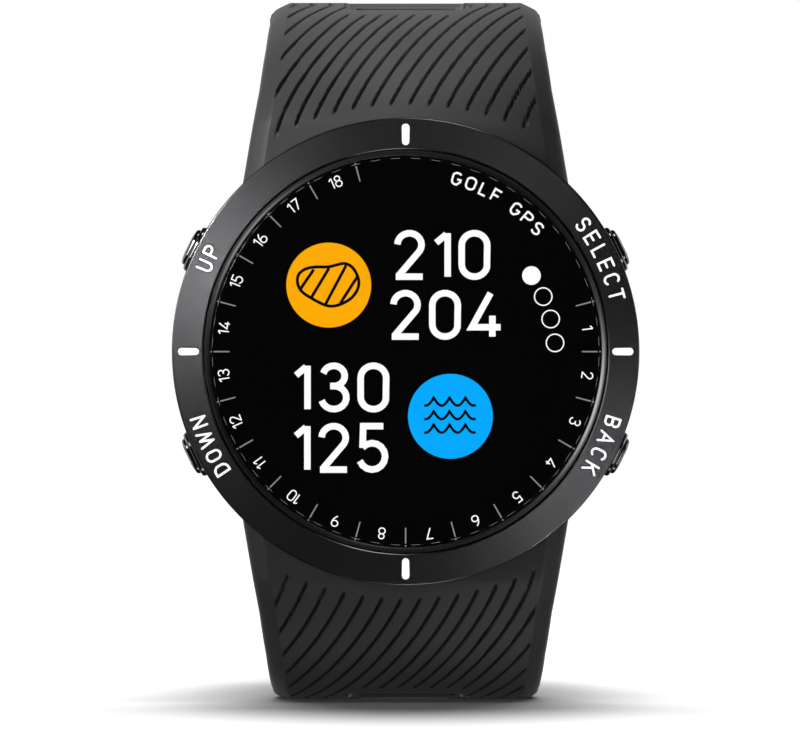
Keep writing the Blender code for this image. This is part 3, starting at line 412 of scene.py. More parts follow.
def turned(profile, steps=256, start=0.0, sweep=360.0):
    """A profile of (radius, depth) carried round the dial's centre: (r cos a, y, r sin a)."""
    profile = np.asarray(profile, float)
    whole = sweep == 360.0
    a = np.radians(start + np.linspace(0, sweep, steps + (not whole), endpoint=not whole))[:, None]
    r, y = profile[None, :, 0], profile[None, :, 1]
    points = world(r * np.cos(a), y + 0 * a, r * np.sin(a))
    return points, [grid_faces(len(a), len(profile), whole, True)]


print("mesh helpers ready")

# %% [markdown]
# ## Bezel
# The real bezel is turned from bar on a lathe: its face falls 0.3 mm towards the glass and both its rims
# have a small chamfer. Turning is also the quickest way to draw it, as one profile carried round a circle.
# The two extra points close to the face's edges keep the smooth shading of the rims off the face.

# %% Bezel
BORE_R = 19.9
FACE_FALL = 0.30
RIM_CHAMFER = 0.12
BEZEL_BACK_Y = 2.8
bezel_profile = [
    (BORE_R, FACE_FALL + 0.12),
    (BORE_R + 0.12, FACE_FALL - 0.012),
    (BORE_R + 0.22, FACE_FALL - 0.022),
    (BEZEL_R - RIM_CHAMFER - 0.1, 0.010),
    (BEZEL_R - RIM_CHAMFER, 0.0),
    (BEZEL_R, RIM_CHAMFER),
    (BEZEL_R, BEZEL_BACK_Y - RIM_CHAMFER),
    (BEZEL_R - RIM_CHAMFER, BEZEL_BACK_Y),
    (BORE_R, BEZEL_BACK_Y),
]
bezel_shape = turned(eased(bezel_profile, 0.05, 3), 384)
make_piece("bezel_turned", *bezel_shape, "case", blasted_steel, "blasted_metal", ["bezel"])


def face_depth(r):
    """Depth of the bezel's face at a radius: it rises evenly from the bore to the outer chamfer."""
    return FACE_FALL * (BEZEL_R - RIM_CHAMFER - r) / (BEZEL_R - RIM_CHAMFER - BORE_R)


# %% [markdown]
# Between bezel and crystal sits a narrow sloped ring, and inside it the crystal, a flat disc with an eased
# edge.

# %% Ring and crystal
RING_OUT_R, RING_IN_R = 19.8, 19.3
LENS_R, LENS_FRONT, LENS_BACK = 19.2, 0.55, 1.75
LENS_EDGE = 0.15
ring_profile = [
    (RING_IN_R, LENS_FRONT + 0.08),
    (RING_OUT_R, FACE_FALL + 0.12),
    (RING_OUT_R, LENS_BACK),
    (RING_IN_R, LENS_BACK),
]
ring_shape = turned(eased(ring_profile, 0.04, 3), 384)
make_piece("glass_ring_turned", *ring_shape, "case", ring_steel, "black_plastic", ["glass_ring"])
lens_profile = [
    (0.0, LENS_FRONT),
    (LENS_R - LENS_EDGE, LENS_FRONT),
    (LENS_R, LENS_FRONT + LENS_EDGE),
    (LENS_R, LENS_BACK),
    (0.0, LENS_BACK),
]
make_piece("lens_crystal", *turned(lens_profile, 256), "case", mineral_glass, "dark_glass", ["lens"])

# %% [markdown]
# ## Lettering
# Letters and numbers are pen strokes, as a sign writer's are: each glyph is a few lines on a small square,
# and a pen of one width follows them. A stroke becomes a thin solid plate, so it has real edges, and the
# same strokes serve the engraved bezel, the printed ring and the lit screen.


# %% Glyphs as pen strokes
def arc(cx, cy, rx, ry, start, end, steps=14):
    """Points (cx + rx cos a, cy + ry sin a) for a from start to end degrees."""
    a = np.radians(np.linspace(start, end, steps))
    return np.stack([cx + rx * np.cos(a), cy + ry * np.sin(a)], 1)


def path(*stretches):
    """Several stretches of points as one run."""
    return np.concatenate([np.atleast_2d(np.asarray(s, float)) for s in stretches])


def glyphs():
    """Each glyph as (width, strokes); a stroke is (points, closed), on a height of 1."""
    w = 0.56
    oval = path(arc(w / 2, 0.72, w / 2, 0.28, 0, 180), arc(w / 2, 0.28, w / 2, 0.28, 180, 360))[:-1]
    small = arc(0.28, 0.27, 0.28, 0.27, 0, 360, 29)[:-1]
    bowl = path([0, 1], [0.30, 1], arc(0.30, 0.745, 0.26, 0.255, 90, -90), [0, 0.49])
    lower_bowl = path([0, 0.52], [0.32, 0.52], arc(0.32, 0.26, 0.26, 0.26, 90, -90), [0, 0])
    open_round = path(arc(0.29, 0.70, 0.29, 0.30, 38, 180), arc(0.29, 0.30, 0.29, 0.30, 180, 322))
    bar = ([[0, 0], [0, 1]], False)
    tall_round = path(arc(0.31, 0.69, 0.31, 0.31, 0, 180), arc(0.31, 0.31, 0.31, 0.31, 180, 360))[:-1]
    tail = arc(0.62, 0.27, 0.62, 0.80, 180, 118)
    five_bowl = arc(0.255, 0.305, 0.285, 0.305, 137, -160)
    three_top = path(arc(0.27, 0.765, 0.24, 0.235, 165, -90), [0.19, 0.53])
    three_foot = path([0.19, 0.535], arc(0.27, 0.268, 0.275, 0.267, 90, -165))
    two = path(arc(0.27, 0.735, 0.265, 0.265, 178, -33), [0.03, 0.02])
    shoulder, hip = arc(0.2, 0.62, 0.38, 0.38, 90, 0), arc(0.2, 0.38, 0.38, 0.38, 0, -90)
    belly = path([0, 1], [0.2, 1], shoulder, hip, [0, 0])
    double_bend = path(arc(0.275, 0.755, 0.265, 0.245, 30, 250), arc(0.275, 0.262, 0.275, 0.262, 70, -150))
    zigzag = [[0, 1], [0.24, 0], [0.475, 0.92], [0.71, 0], [0.95, 1]]
    made = {
        "0": (w, [(oval, True)]),
        "1": (0.25, [([[0.0, 0.78], [0.22, 0.975]], False), ([[0.25, 0], [0.25, 1]], False)]),
        "2": (0.55, [(two, False), ([[-0.03, 0], [0.56, 0]], False)]),
        "3": (0.55, [(three_top, False), (three_foot, False)]),
        "4": (0.63, [([[0.41, 1], [0, 0.215], [0.63, 0.215]], False), ([[0.45, 0.48], [0.45, 0]], False)]),
        "5": (0.54, [([[0.50, 1], [0.06, 1], [0.045, 0.50]], False), (five_bowl, False)]),
        "6": (w, [(small, True), (tail, False)]),
        "7": (0.54, [([[0, 1], [0.54, 1], [0.17, 0]], False)]),
        "8": (w, [(small, True), (arc(0.28, 0.77, 0.235, 0.23, 0, 360, 29)[:-1], True)]),
        "9": (w, [(np.array([w, 1]) - small, True), (np.array([w, 1]) - tail, False)]),
        "A": (0.72, [([[0, 0], [0.36, 1], [0.72, 0]], False), ([[0.12, 0.33], [0.60, 0.33]], False)]),
        "B": (w, [bar, (bowl, False), (lower_bowl, False)]),
        "C": (w, [(open_round, False)]),
        "D": (0.58, [bar, (belly, False)]),
        "E": (0.52, [([[0.52, 1], [0, 1], [0, 0], [0.52, 0]], False), ([[0, 0.5], [0.46, 0.5]], False)]),
        "F": (0.50, [([[0.50, 1], [0, 1], [0, 0]], False), ([[0, 0.5], [0.44, 0.5]], False)]),
        "G": (0.58, [(path(open_round[:-3], [0.58, 0.30], [0.58, 0.47], [0.33, 0.47]), False)]),
        "K": (0.58, [bar, ([[0.56, 1], [0.02, 0.44]], False), ([[0.20, 0.62], [0.58, 0]], False)]),
        "L": (0.48, [([[0, 1], [0, 0], [0.48, 0]], False)]),
        "N": (0.62, [bar, ([[0.02, 0.98], [0.60, 0.02]], False), ([[0.62, 0], [0.62, 1]], False)]),
        "O": (0.62, [(tall_round, True)]),
        "P": (w, [bar, (bowl, False)]),
        "S": (0.55, [(double_bend, False)]),
        "T": (0.58, [([[0, 1], [0.58, 1]], False), ([[0.29, 1], [0.29, 0]], False)]),
        "U": (w, [(path([0, 1], arc(w / 2, 0.28, w / 2, 0.28, 180, 360), [w, 1]), False)]),
        "W": (0.95, [([start, end], False) for start, end in zip(zigzag, zigzag[1:])]),
        " ": (0.25, []),
    }
    return made


GLYPHS = glyphs()
print(len(GLYPHS), "glyphs")

# %% [markdown]
# The pen's two edges stand half its width to either side of the line, along the mitre at each bend. A round
# end adds a few narrower steps: at a distance of half the width times sin a, the pen is half the width
# times cos a wide.


# %% Strokes as plates
def stroke_edges(points, width, closed, round_ends):
    """Left and right edge of a stroke: p +- w/2 * m / (m . n), with m the mean of the two normals n at p."""
    p = np.asarray(points, float)
    apart = np.linalg.norm(p - np.roll(p, 1, 0), axis=1) > 1e-6
    p = p[apart] if closed else p[np.concatenate([[True], apart[1:]])]
    half = np.full(len(p), width / 2)
    if round_ends and not closed:
        a = np.radians([90, 70, 50, 30, 12])
        first, last = p[0] - p[1], p[-1] - p[-2]
        head = p[0] + first / np.linalg.norm(first) * (width / 2 * np.sin(a))[:, None]
        tail = p[-1] + last / np.linalg.norm(last) * (width / 2 * np.sin(a[::-1]))[:, None]
        p = np.concatenate([head, p, tail])
        ends = np.maximum(width / 2 * np.cos(a), 0.01 * width)
        half = np.concatenate([ends, half, ends[::-1]])
    step = np.roll(p, -1, 0) - p
    if not closed:
        step[-1] = step[-2]
    along = step / np.linalg.norm(step, axis=1)[:, None]
    normal = np.stack([-along[:, 1], along[:, 0]], 1)
    behind = np.roll(normal, 1, 0)
    if not closed:
        behind[0] = normal[0]
    mitre = normal + behind
    mitre /= np.linalg.norm(mitre, axis=1)[:, None]
    reach = half / np.maximum((mitre * normal).sum(1), 0.4)
    return p + mitre * reach[:, None], p - mitre * reach[:, None]


def plates(strokes, width, front, back, placed, round_ends=False, lift=0.002):
    """Strokes (points, closed) as thin solids between two depths. placed(u, v, depth) puts them in the world.
    Each one stands lift higher than the last, so that crossing strokes have no faces in one plane."""
    points, faces, count = [], [], 0
    for number, (line, closed) in enumerate(strokes):
        left, right = stroke_edges(line, width, closed, round_ends)
        top, rows = front - lift * (number % 5), len(left)
        u = np.stack([left[:, 0], right[:, 0], right[:, 0], left[:, 0]], 1)
        v = np.stack([left[:, 1], right[:, 1], right[:, 1], left[:, 1]], 1)
        depth = np.broadcast_to([top, top, back, back], u.shape)
        points.append(placed(u, v, depth).reshape(-1, 3))
        faces.append(grid_faces(rows, 4, closed, True) + count)
        if not closed:
            faces.append(np.array([[0, 3, 2, 1]]) + count)
            faces.append(np.array([[0, 1, 2, 3]]) + count + 4 * (rows - 1))
        count += 4 * rows
    return np.concatenate(points), faces


def set_text(text, height, width, gap, squeeze=1.0):
    """A line of text as strokes centred on 0. The pen's line is a pen's width lower than height."""
    inner, cursor, strokes, spans = height - width, 0.0, [], []
    for letter in text:
        wide, lines = GLYPHS[letter]
        for line, closed in lines:
            line = np.asarray(line, float) * [inner * squeeze, inner] + [cursor + width / 2, width / 2]
            strokes.append((line, closed))
        spans.append(cursor + (wide * inner * squeeze + width) / 2)
        cursor += wide * inner * squeeze + width + gap
    cursor -= gap
    return [(line - [cursor / 2, height / 2], closed) for line, closed in strokes], cursor


def on_arc(centre_angle, radius, depth_at=lambda r: 0.0):
    """A placing for text that runs clockwise, tops out: angle = centre - u / radius and r = radius + v."""

    def placed(u, v, depth):
        r = radius + v
        a = math.radians(centre_angle) - u / radius
        return world(r * np.cos(a), depth + depth_at(r), r * np.sin(a))

    return placed


def upright(x, z):
    """A placing for text that stands straight: u to the right of x and v above z."""
    return lambda u, v, depth: world(x + u, depth, z + v)


# %% [markdown]
# ## Names of the buttons
# Four plain words are cut into the bezel beside the buttons and filled with white enamel, and so are four
# marks, at 12, 3, 6 and 9 o'clock. Each is a white plate a hair proud of the metal, in a slightly wider
# dark one that stands for the shadow in the cut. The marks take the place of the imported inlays.

# %% Bezel lettering
LABEL_R, LABEL_HEIGHT, LABEL_PEN, LABEL_EDGE = 21.48, 1.62, 0.22, 0.17
LABELS = {"UP": (154.8, 0.50), "SELECT": (25.3, 0.56), "BACK": (-25.5, 0.58), "DOWN": (205.7, 0.46)}
MARK_R, MARK_HALF, MARK_PEN, MARK_EDGE = 21.36, 0.68, 0.72, 0.20
MARK_ANGLES = {"12": 90.0, "3": 0.0, "6": 270.0, "9": 180.0}
letters, cut_shadows, marks = [], [], []
for word, (angle, gap) in LABELS.items():
    strokes, width = set_text(word, LABEL_HEIGHT, LABEL_PEN, gap, 1.02)
    placed = on_arc(angle, LABEL_R, face_depth)
    letters.append(plates(strokes, LABEL_PEN, -0.030, 0.05, placed, True))
    cut_shadows.append(plates(strokes, LABEL_PEN + LABEL_EDGE, -0.010, 0.05, placed, True, 0.001))
    print(f"{word}: {width:.2f} mm wide")
inlay = [([[0.0, -MARK_HALF], [0.0, MARK_HALF]], False)]
for angle in MARK_ANGLES.values():
    placed = on_arc(angle, MARK_R, face_depth)
    marks.append(plates(inlay, MARK_PEN, -0.012, 0.25, placed, True))
    cut_shadows.append(plates(inlay, MARK_PEN + MARK_EDGE, -0.004, 0.25, placed, True))
packed_marks = [f"bezel_marker_{hour}" for hour in MARK_ANGLES]
# The white enamel of the marks and the lettering carries a painted glow.
make_piece("bezel_marks", *gathered(marks), "case", enamel_white, "white_enamel", packed_marks)
make_piece("bezel_lettering", *gathered(letters), "case", enamel_white, "white_enamel")
make_piece("bezel_lettering_cut", *gathered(cut_shadows), "case", groove_shade, "blasted_metal")

# %% [markdown]
# ## Ring of hole numbers
# Under the crystal a black ring carries the numbers 1 to 18, one for each hole of a round, with a short
# line between neighbours. The count starts just above 3 o'clock and runs clockwise.

# %% Hole numbers and ticks
RING_FRONT, SCREEN_FRONT = 1.85, 1.85
NUMBER_R, NUMBER_HEIGHT, NUMBER_PEN = 18.05, 1.18, 0.12
TICK_IN, TICK_OUT, TICK_PEN = 17.35, 18.90, 0.13
FIRST_TICK, STEP = 15.0, 15.0
PRINT_THICKNESS = 0.02
DASH_R, DASH_LENGTH, DASH_PEN, DASH_FRONT = 19.08, 0.9, 0.09, 1.79
DESCRIPTOR_R, DESCRIPTOR_ANGLE, DESCRIPTOR_HEIGHT, DESCRIPTOR_PEN = 17.75, 58.3, 1.35, 0.20
for node in ("hole_number_ring", "display_panel"):
    mesh = frame["nodes"][node].data
    mesh.materials.clear()
    mesh.materials.append(dial_black)


def printed(strokes, pen, placed, back=RING_FRONT):
    """Strokes as print on the ring or the screen, PRINT_THICKNESS proud of it."""
    return plates(strokes, pen, back - PRINT_THICKNESS, back, placed)


numbers = []
for hole in range(1, 19):
    strokes, _ = set_text(str(hole), NUMBER_HEIGHT, NUMBER_PEN, 0.14, 1.05)
    numbers.append(printed(strokes, NUMBER_PEN, on_arc(FIRST_TICK - STEP * (hole - 0.5), NUMBER_R)))
# The printed hole numbers carry a painted glow, the screen's white emission.
make_piece("hole_numbers", *gathered(numbers), "case", screen_and_print_glow_white, "display_black")

tick = [([[0.0, TICK_IN - NUMBER_R], [0.0, TICK_OUT - NUMBER_R]], False)]
ticks = [printed(tick, TICK_PEN, on_arc(FIRST_TICK - STEP * i, NUMBER_R)) for i in range(19)]
# The printed ticks carry a painted glow, the grey emission.
make_piece("hole_ticks", *gathered(ticks), "case", print_glow_grey, "display_black")

dash = [([[-DASH_LENGTH / 2, 0.0], [DASH_LENGTH / 2, 0.0]], False)]
dashes = [
    printed(dash, DASH_PEN, on_arc(3.0 + 6.0 * i, DASH_R), DASH_FRONT + PRINT_THICKNESS) for i in range(60)
]
# The printed dashes carry a painted glow, the grey emission.
make_piece("minute_dashes", *gathered(dashes), "case", print_glow_grey, "display_black")

strokes, _ = set_text("GOLF GPS", DESCRIPTOR_HEIGHT, DESCRIPTOR_PEN, 0.42, 1.25)
descriptor = printed(strokes, DESCRIPTOR_PEN, on_arc(DESCRIPTOR_ANGLE, DESCRIPTOR_R))
# The printed words carry a painted glow, the screen's white emission.
make_piece("dial_descriptor", *descriptor, "case", screen_and_print_glow_white, "display_black")

# %% [markdown]
# ## What the screen shows
# The screen lists how far away each hazard is: two distances beside a bunker sign and two beside a water
# sign.

# %% Distances
DIGIT_HEIGHT, DIGIT_PEN, DIGIT_GAP = 4.92, 0.64, 0.74
NUMBERS = {"210": (3.60, 9.52), "204": (4.06, 3.62), "130": (-6.35, -3.53), "125": (-6.41, -9.48)}
distances = []
for text, (x, z) in NUMBERS.items():
    strokes, width = set_text(text, DIGIT_HEIGHT, DIGIT_PEN, DIGIT_GAP, 1.05)
    distances.append(printed(strokes, DIGIT_PEN, upright(x, z), SCREEN_FRONT))
    print(f"{text}: {width:.2f} mm wide")
make_piece("distances", *gathered(distances), "case", screen_and_print_glow_white, "display_black")

# %% [markdown]
# The signs are discs of colour with a black drawing on them: a bunker's outline with raked lines, and three
# rows of waves. A disc is a plate too, with its rim worked out as a circle.


# %% Signs
def plate_disc(x, z, radius, front, back, steps=96):
    """A thin disc: rings of radius 0, r, r and 0 at the front, front, back and back depth."""
    a = np.linspace(0, 2 * np.pi, steps, endpoint=False)[:, None]
    r = np.array([0.0, radius, radius, 0.0])[None, :]
    y = np.array([front, front, back, back])[None, :] + 0 * a
    return world(x + r * np.cos(a), y, z + r * np.sin(a)), [grid_faces(steps, 4, True, False)]


BUNKER_X, BUNKER_Z, WATER_X, WATER_Z, SIGN_R = -7.57, 6.55, 4.41, -6.37, 4.18
for name, x, z, colour in (
    ("bunker_sign", BUNKER_X, BUNKER_Z, lit_orange),
    ("water_sign", WATER_X, WATER_Z, lit_blue),
):
    disc = plate_disc(x, z, SIGN_R, SCREEN_FRONT - PRINT_THICKNESS, SCREEN_FRONT)
    make_piece(name, *disc, "case", colour, "display_black")

INK, WAVE_INK = 0.30, 0.26
INK_FRONT, INK_BACK = SCREEN_FRONT - 0.04, SCREEN_FRONT - 0.015
BEAN = [
    (-3.15, 0.65), (-2.82, 1.31), (-2.0, 1.73), (-1.01, 1.8), (-0.03, 1.77), (0.79, 2.0), (1.61, 2.19),
    (2.33, 1.8), (2.75, 1.14), (3.02, 0.32), (2.85, -0.49), (2.33, -1.22), (1.61, -1.71), (0.79, -2.04),
    (-0.03, -2.1), (-0.85, -1.77), (-1.67, -1.31), (-2.49, -0.82), (-2.98, -0.23),
]
RAKE = [
    [(-1.47, 1.54), (-2.82, -0.43)],
    [(0.03, 1.67), (-1.67, -1.15)],
    [(1.71, 1.93), (-0.33, -1.9)],
    [(2.82, 0.82), (1.12, -1.81)],
]
WAVE_PITCH, WAVE_DEPTH, FIRST_CREST = 1.56, 0.80, -0.08
WAVE_TOPS = (1.86, 0.52, -0.80)


def rounded(corners, rounds=2):
    """Chaikin's rounding of a closed outline: each side gives its points at 1/4 and 3/4."""
    p = np.asarray(corners, float)
    for _ in range(rounds):
        after = np.roll(p, -1, 0)
        p = np.stack([0.75 * p + 0.25 * after, 0.25 * p + 0.75 * after], 1).reshape(-1, 2)
    return p


def wave(top):
    """A row of waves hanging from sharp crests: top - depth * |sin(pi x / pitch)|^0.9."""
    x = np.linspace(-2.58, 2.49, 105)
    sag = WAVE_DEPTH * np.abs(np.sin(np.pi * (x - FIRST_CREST) / WAVE_PITCH)) ** 0.9
    return np.stack([x, top - sag], 1), False


bunker_lines = [(rounded(BEAN), True)] + [(line, False) for line in RAKE]
bunker = plates(bunker_lines, INK, INK_FRONT, INK_BACK, upright(BUNKER_X, BUNKER_Z), lift=0.001)
waves = [wave(top) for top in WAVE_TOPS]
water = plates(waves, WAVE_INK, INK_FRONT, INK_BACK, upright(WATER_X, WATER_Z), lift=0.001)
make_piece("sign_drawings", *gathered([bunker, water]), "case", dial_black, "display_black")

# %% [markdown]
# Four dots beside the top distances tell which page is shown: the first is full and the others are rings.

# %% Page dots
FULL_DOT_X, FULL_DOT_Z, FULL_DOT_R = 12.39, 7.49, 0.92
RING_DOTS, RING_DOT_R, RING_DOT_PEN = [(13.55, 5.42), (14.28, 3.21), (14.71, 0.86)], 0.86, 0.12
full_dot = plate_disc(FULL_DOT_X, FULL_DOT_Z, FULL_DOT_R, SCREEN_FRONT - PRINT_THICKNESS, SCREEN_FRONT, 48)
around = np.linspace(0, 2 * np.pi, 64, endpoint=False)
circle = RING_DOT_R * np.stack([np.cos(around), np.sin(around)], 1)
circles = [(np.array(middle) + circle, True) for middle in RING_DOTS]
ring_dots = printed(circles, RING_DOT_PEN, upright(0.0, 0.0), SCREEN_FRONT)
make_piece("page_dots", *gathered([full_dot, ring_dots]), "case", screen_and_print_glow_white, "display_black")

# %% [markdown]
# ## The strap's line
# Each half of the strap follows one line of arcs and straight runs, measured from the bezel's rim.
# `band_line` walks those stretches for whole arrays of distances at once: an arc of radius R turns the
# heading by step / R, a straight run moves along it.

# %% Strap line and size
FRONT_BEND, BEND_Z, BEND_Y = 18.0, 17.0, 20.0
RIM_HEADING = math.asin((BEZEL_R - BEND_Z) / FRONT_BEND)
LEAD = FRONT_BEND * (math.pi / 2 - RIM_HEADING)
STRETCHES = {
    1: [(LEAD, FRONT_BEND), (30.0 * math.radians(14.0), 30.0), (26.0, None), (74.0, 26.0)],
    -1: [(LEAD, FRONT_BEND), (32.0, None), (30.0 * math.pi / 2, 30.0), (105.0, None)],
}
# Distance along the strap, half width and thickness.
STATIONS = np.array(
    [
        (-8.0, 16.3, 4.4),
        (0.0, 15.1, 4.4),
        (4.0, 14.5, 4.2),
        (10.0, 13.9, 3.8),
        (16.0, 13.5, 3.4),
        (22.0, 13.2, 3.1),
        (40.0, 12.0, 2.8),
        (58.0, 11.0, 2.6),
        (140.0, 11.0, 2.4),
    ]
)
REST_Z = -34.6
BEHIND_BEZEL_Y = 2.95


def band_line(s, side):
    """The outer face at distances s, as (y, z, heading). Short of the rim it goes on round the first bend,
    but never in front of the bezel's back: y is the smooth larger of the bend's y and BEHIND_BEZEL_Y."""
    s = np.asarray(s, float)
    heading = np.full(s.shape, RIM_HEADING) + np.minimum(s, 0) / FRONT_BEND
    y = BEND_Y - FRONT_BEND * np.cos(heading)
    z = BEND_Z + FRONT_BEND * np.sin(heading)
    left = np.maximum(s, 0)
    for length, radius in STRETCHES[side]:
        step = np.clip(left, 0, length)
        if radius is None:
            y, z = y + step * np.sin(heading), z + step * np.cos(heading)
        else:
            ahead = heading + step / radius
            y = y + radius * (np.cos(heading) - np.cos(ahead))
            z = z + radius * (np.sin(ahead) - np.sin(heading))
            heading = ahead
        left = left - step
    past = y - BEHIND_BEZEL_Y
    y = np.where(s < 1.5, BEHIND_BEZEL_Y + 0.5 * (past + np.sqrt(past**2 + 0.01)), y)
    return y, z, heading


def band_size(s):
    """Half width and thickness at distances s, in straight lines between the stations."""
    return np.interp(s, STATIONS[:, 0], STATIONS[:, 1]), np.interp(s, STATIONS[:, 0], STATIONS[:, 2])


print("strap length to the horizon of its first bend:", round(LEAD, 2), "mm")

# %% [markdown]
# ## Grooves
# The first stretch of each half is scored with slanted grooves 0.52 mm deep. Each one starts on an arc
# round the bezel, 1.87 mm from the next, and drifts across as it runs along, 0.36 mm for each millimetre at
# first and 0.62 further on. A point's groove is found by going back to the arc: g(u) = u - drift(start(u))
# has one value per line.

# %% Grooves and recess
PITCH, GROOVE_WIDTH, GROOVE_DEPTH = 1.87, 0.25, 0.52
SLANT_FAR, SLANT_EASE, SLANT_LENGTH = 0.62, 0.26, 4.0
PATTERN_END, CENTRE_STOP, CENTRE_HALF = 27.0, 14.9, 5.6
MARGIN = 1.8
FIRST_LINE = 0.4


def drift(s):
    """How far a groove has moved across by s: far * s - ease * length * (1 - exp(-s / length))."""
    return SLANT_FAR * s - SLANT_EASE * SLANT_LENGTH * (1 - np.exp(-s / SLANT_LENGTH))


def groove_start(u):
    """How far along the strap a groove starts, on a parabola that follows the bezel: 1.5 - 0.0187 u^2."""
    return 1.5 - 0.0187 * np.clip(u, -14.1, 14.1) ** 2


def smooth_step(x, low, high):
    """0 below low, 1 above high and 3t^2 - 2t^3 between."""
    t = np.clip((x - low) / (high - low), 0, 1)
    return t * t * (3 - 2 * t)


def groove_depth(x, s, side):
    """How deep the grooves are at (x, s): a rounded trough about each line, faded in and out at its ends."""
    x = x * side
    u_table = np.linspace(-60, 40, 2001)
    g_table = u_table - drift(groove_start(u_table))
    u = np.interp(x - drift(s), g_table, u_table)
    phase = (u - FIRST_LINE) / PITCH
    slope = np.gradient(g_table, u_table)
    away = np.abs(phase - np.round(phase)) * PITCH * np.interp(u, u_table, slope) / math.hypot(1, SLANT_FAR)
    trough = 1 - smooth_step(away, 0.25 * GROOVE_WIDTH, 0.62 * GROOVE_WIDTH)
    u_line = FIRST_LINE + PITCH * np.round(phase)
    fade = smooth_step(s - groove_start(u_line), -0.1, 0.35)
    crease = band_size(s)[0] - MARGIN
    fade = fade * (1 - smooth_step(np.abs(x) - crease, -0.25, 0.0))
    centre = smooth_step(s, CENTRE_STOP - 0.3, CENTRE_STOP + 0.2)
    centre = centre * (1 - smooth_step(np.abs(x), CENTRE_HALF, CENTRE_HALF + 0.3))
    fade = fade * (1 - centre) * (1 - smooth_step(s, PATTERN_END - 0.4, PATTERN_END))
    return GROOVE_DEPTH * trough * fade


print("grooves", PITCH, "mm apart")

# %% [markdown]
# ## Strap halves
# A half is a thick sheet: an outer grid and an inner grid of points, joined along their edges. The outer
# grid is fine where the grooves are, 0.12 mm by 0.19 mm, so that each groove steps one column across for
# each row along. A slot is a run of cells left out of both grids, with walls between, and the rows beside
# it bend in to round its corners.

# %% Columns and rows
SLOT_HALF, SLOT_HALF_LENGTH, SLOT_CORNER, SLOT_EASED = 1.2, 5.0, 0.8, 7.5
SLOT_START, SLOT_PITCH = 19.8, 6.5
FIRST_S, BEFORE_SLOTS_S = 4.0, 17.6  # up to FIRST_S the rows follow the round case, then run straight across
COLUMN = 0.12
ROW = COLUMN / SLANT_FAR
PANEL_COLUMNS = round(2 * 13.3 / COLUMN) + 1
ROW_OFFSETS = (-1.9, -1.55, -SLOT_HALF, SLOT_HALF, 1.55, 1.9)


def columns_of(margin_steps):
    """Columns (a, b, q): x = a * (half width - margin) + b, and q is the share of half the thickness lost."""
    panel = np.linspace(-1, 1, PANEL_COLUMNS)
    b, q = np.array(margin_steps).T
    one, zero = np.ones(len(b)), np.zeros(len(panel))
    a = np.concatenate([-one, panel, one])
    return a, np.concatenate([-b[::-1], zero, b]), np.concatenate([q[::-1], zero, q])


OUTER_EDGE = [(0.12, 0.02), (0.6, 0.16), (1.1, 0.31), (1.45, 0.43), (1.66, 0.55), (1.77, 0.70), (1.80, 0.86)]
INNER_EDGE = [(0.6, 0.0), (1.0, 0.02), (1.35, 0.09), (1.6, 0.24), (1.75, 0.45), (1.80, 0.62)]
OUTER, INNER = columns_of(OUTER_EDGE), columns_of(INNER_EDGE)


def slot_bend(x):
    """How far a slot's long side stands from its middle, as a share: 1, rounding down to a third at its ends
    and easing back to 1 beyond them."""
    x = np.abs(x)
    t = np.clip((x - (SLOT_HALF_LENGTH - SLOT_CORNER)) / SLOT_CORNER, 0, 1)
    inside = 1 - SLOT_CORNER / SLOT_HALF * (1 - np.sqrt(1 - t**2))
    beyond = inside + (1 - inside) * smooth_step(x, SLOT_HALF_LENGTH, SLOT_EASED)
    return np.where(x <= SLOT_HALF_LENGTH, inside, beyond)


def rows_of(slots, end, ends, fine):
    """Places of the rows, with each slot's own rows, and the index of the row on each slot's near side."""
    near = [("near", t) for t in np.linspace(0, 1, 27 if fine else 7)[:-1]]
    s_table = np.linspace(0, 20, 401)
    even = np.interp(np.arange(drift(FIRST_S), drift(BEFORE_SLOTS_S), COLUMN), drift(s_table), s_table)
    middle = [("s", s) for s in (even if fine else np.arange(FIRST_S, BEFORE_SLOTS_S, 1.7))]
    rows, slot_rows = near + middle, []
    for k in range(slots):
        centre = SLOT_START + SLOT_PITCH * k
        slot_rows.append(len(rows) + ROW_OFFSETS.index(-SLOT_HALF))
        rows += [("slot", (centre, offset)) for offset in ROW_OFFSETS]
        gap_start, gap_end = centre + ROW_OFFSETS[-1], centre + SLOT_PITCH - ROW_OFFSETS[-1]
        step = ROW if fine and gap_end < PATTERN_END + 0.5 else 0.9
        last = k == slots - 1
        count = max(2, math.ceil((gap_end - gap_start) / step))
        rows += [("s", s) for s in np.linspace(gap_start, gap_end, count + 1)[1 : None if last else -1]]
    begin = SLOT_START + SLOT_PITCH * (slots - 1) + SLOT_PITCH - ROW_OFFSETS[-1]
    rows += [("s", s) for s in (*np.arange(begin + 0.9, end, 1.2), *ends)]
    return rows, slot_rows


print(len(OUTER[0]), "columns")


# %% Strap sheet
HOLD_R = 22.45
LUG_FLARE = 0.6
RECESS_DEPTH = 0.55


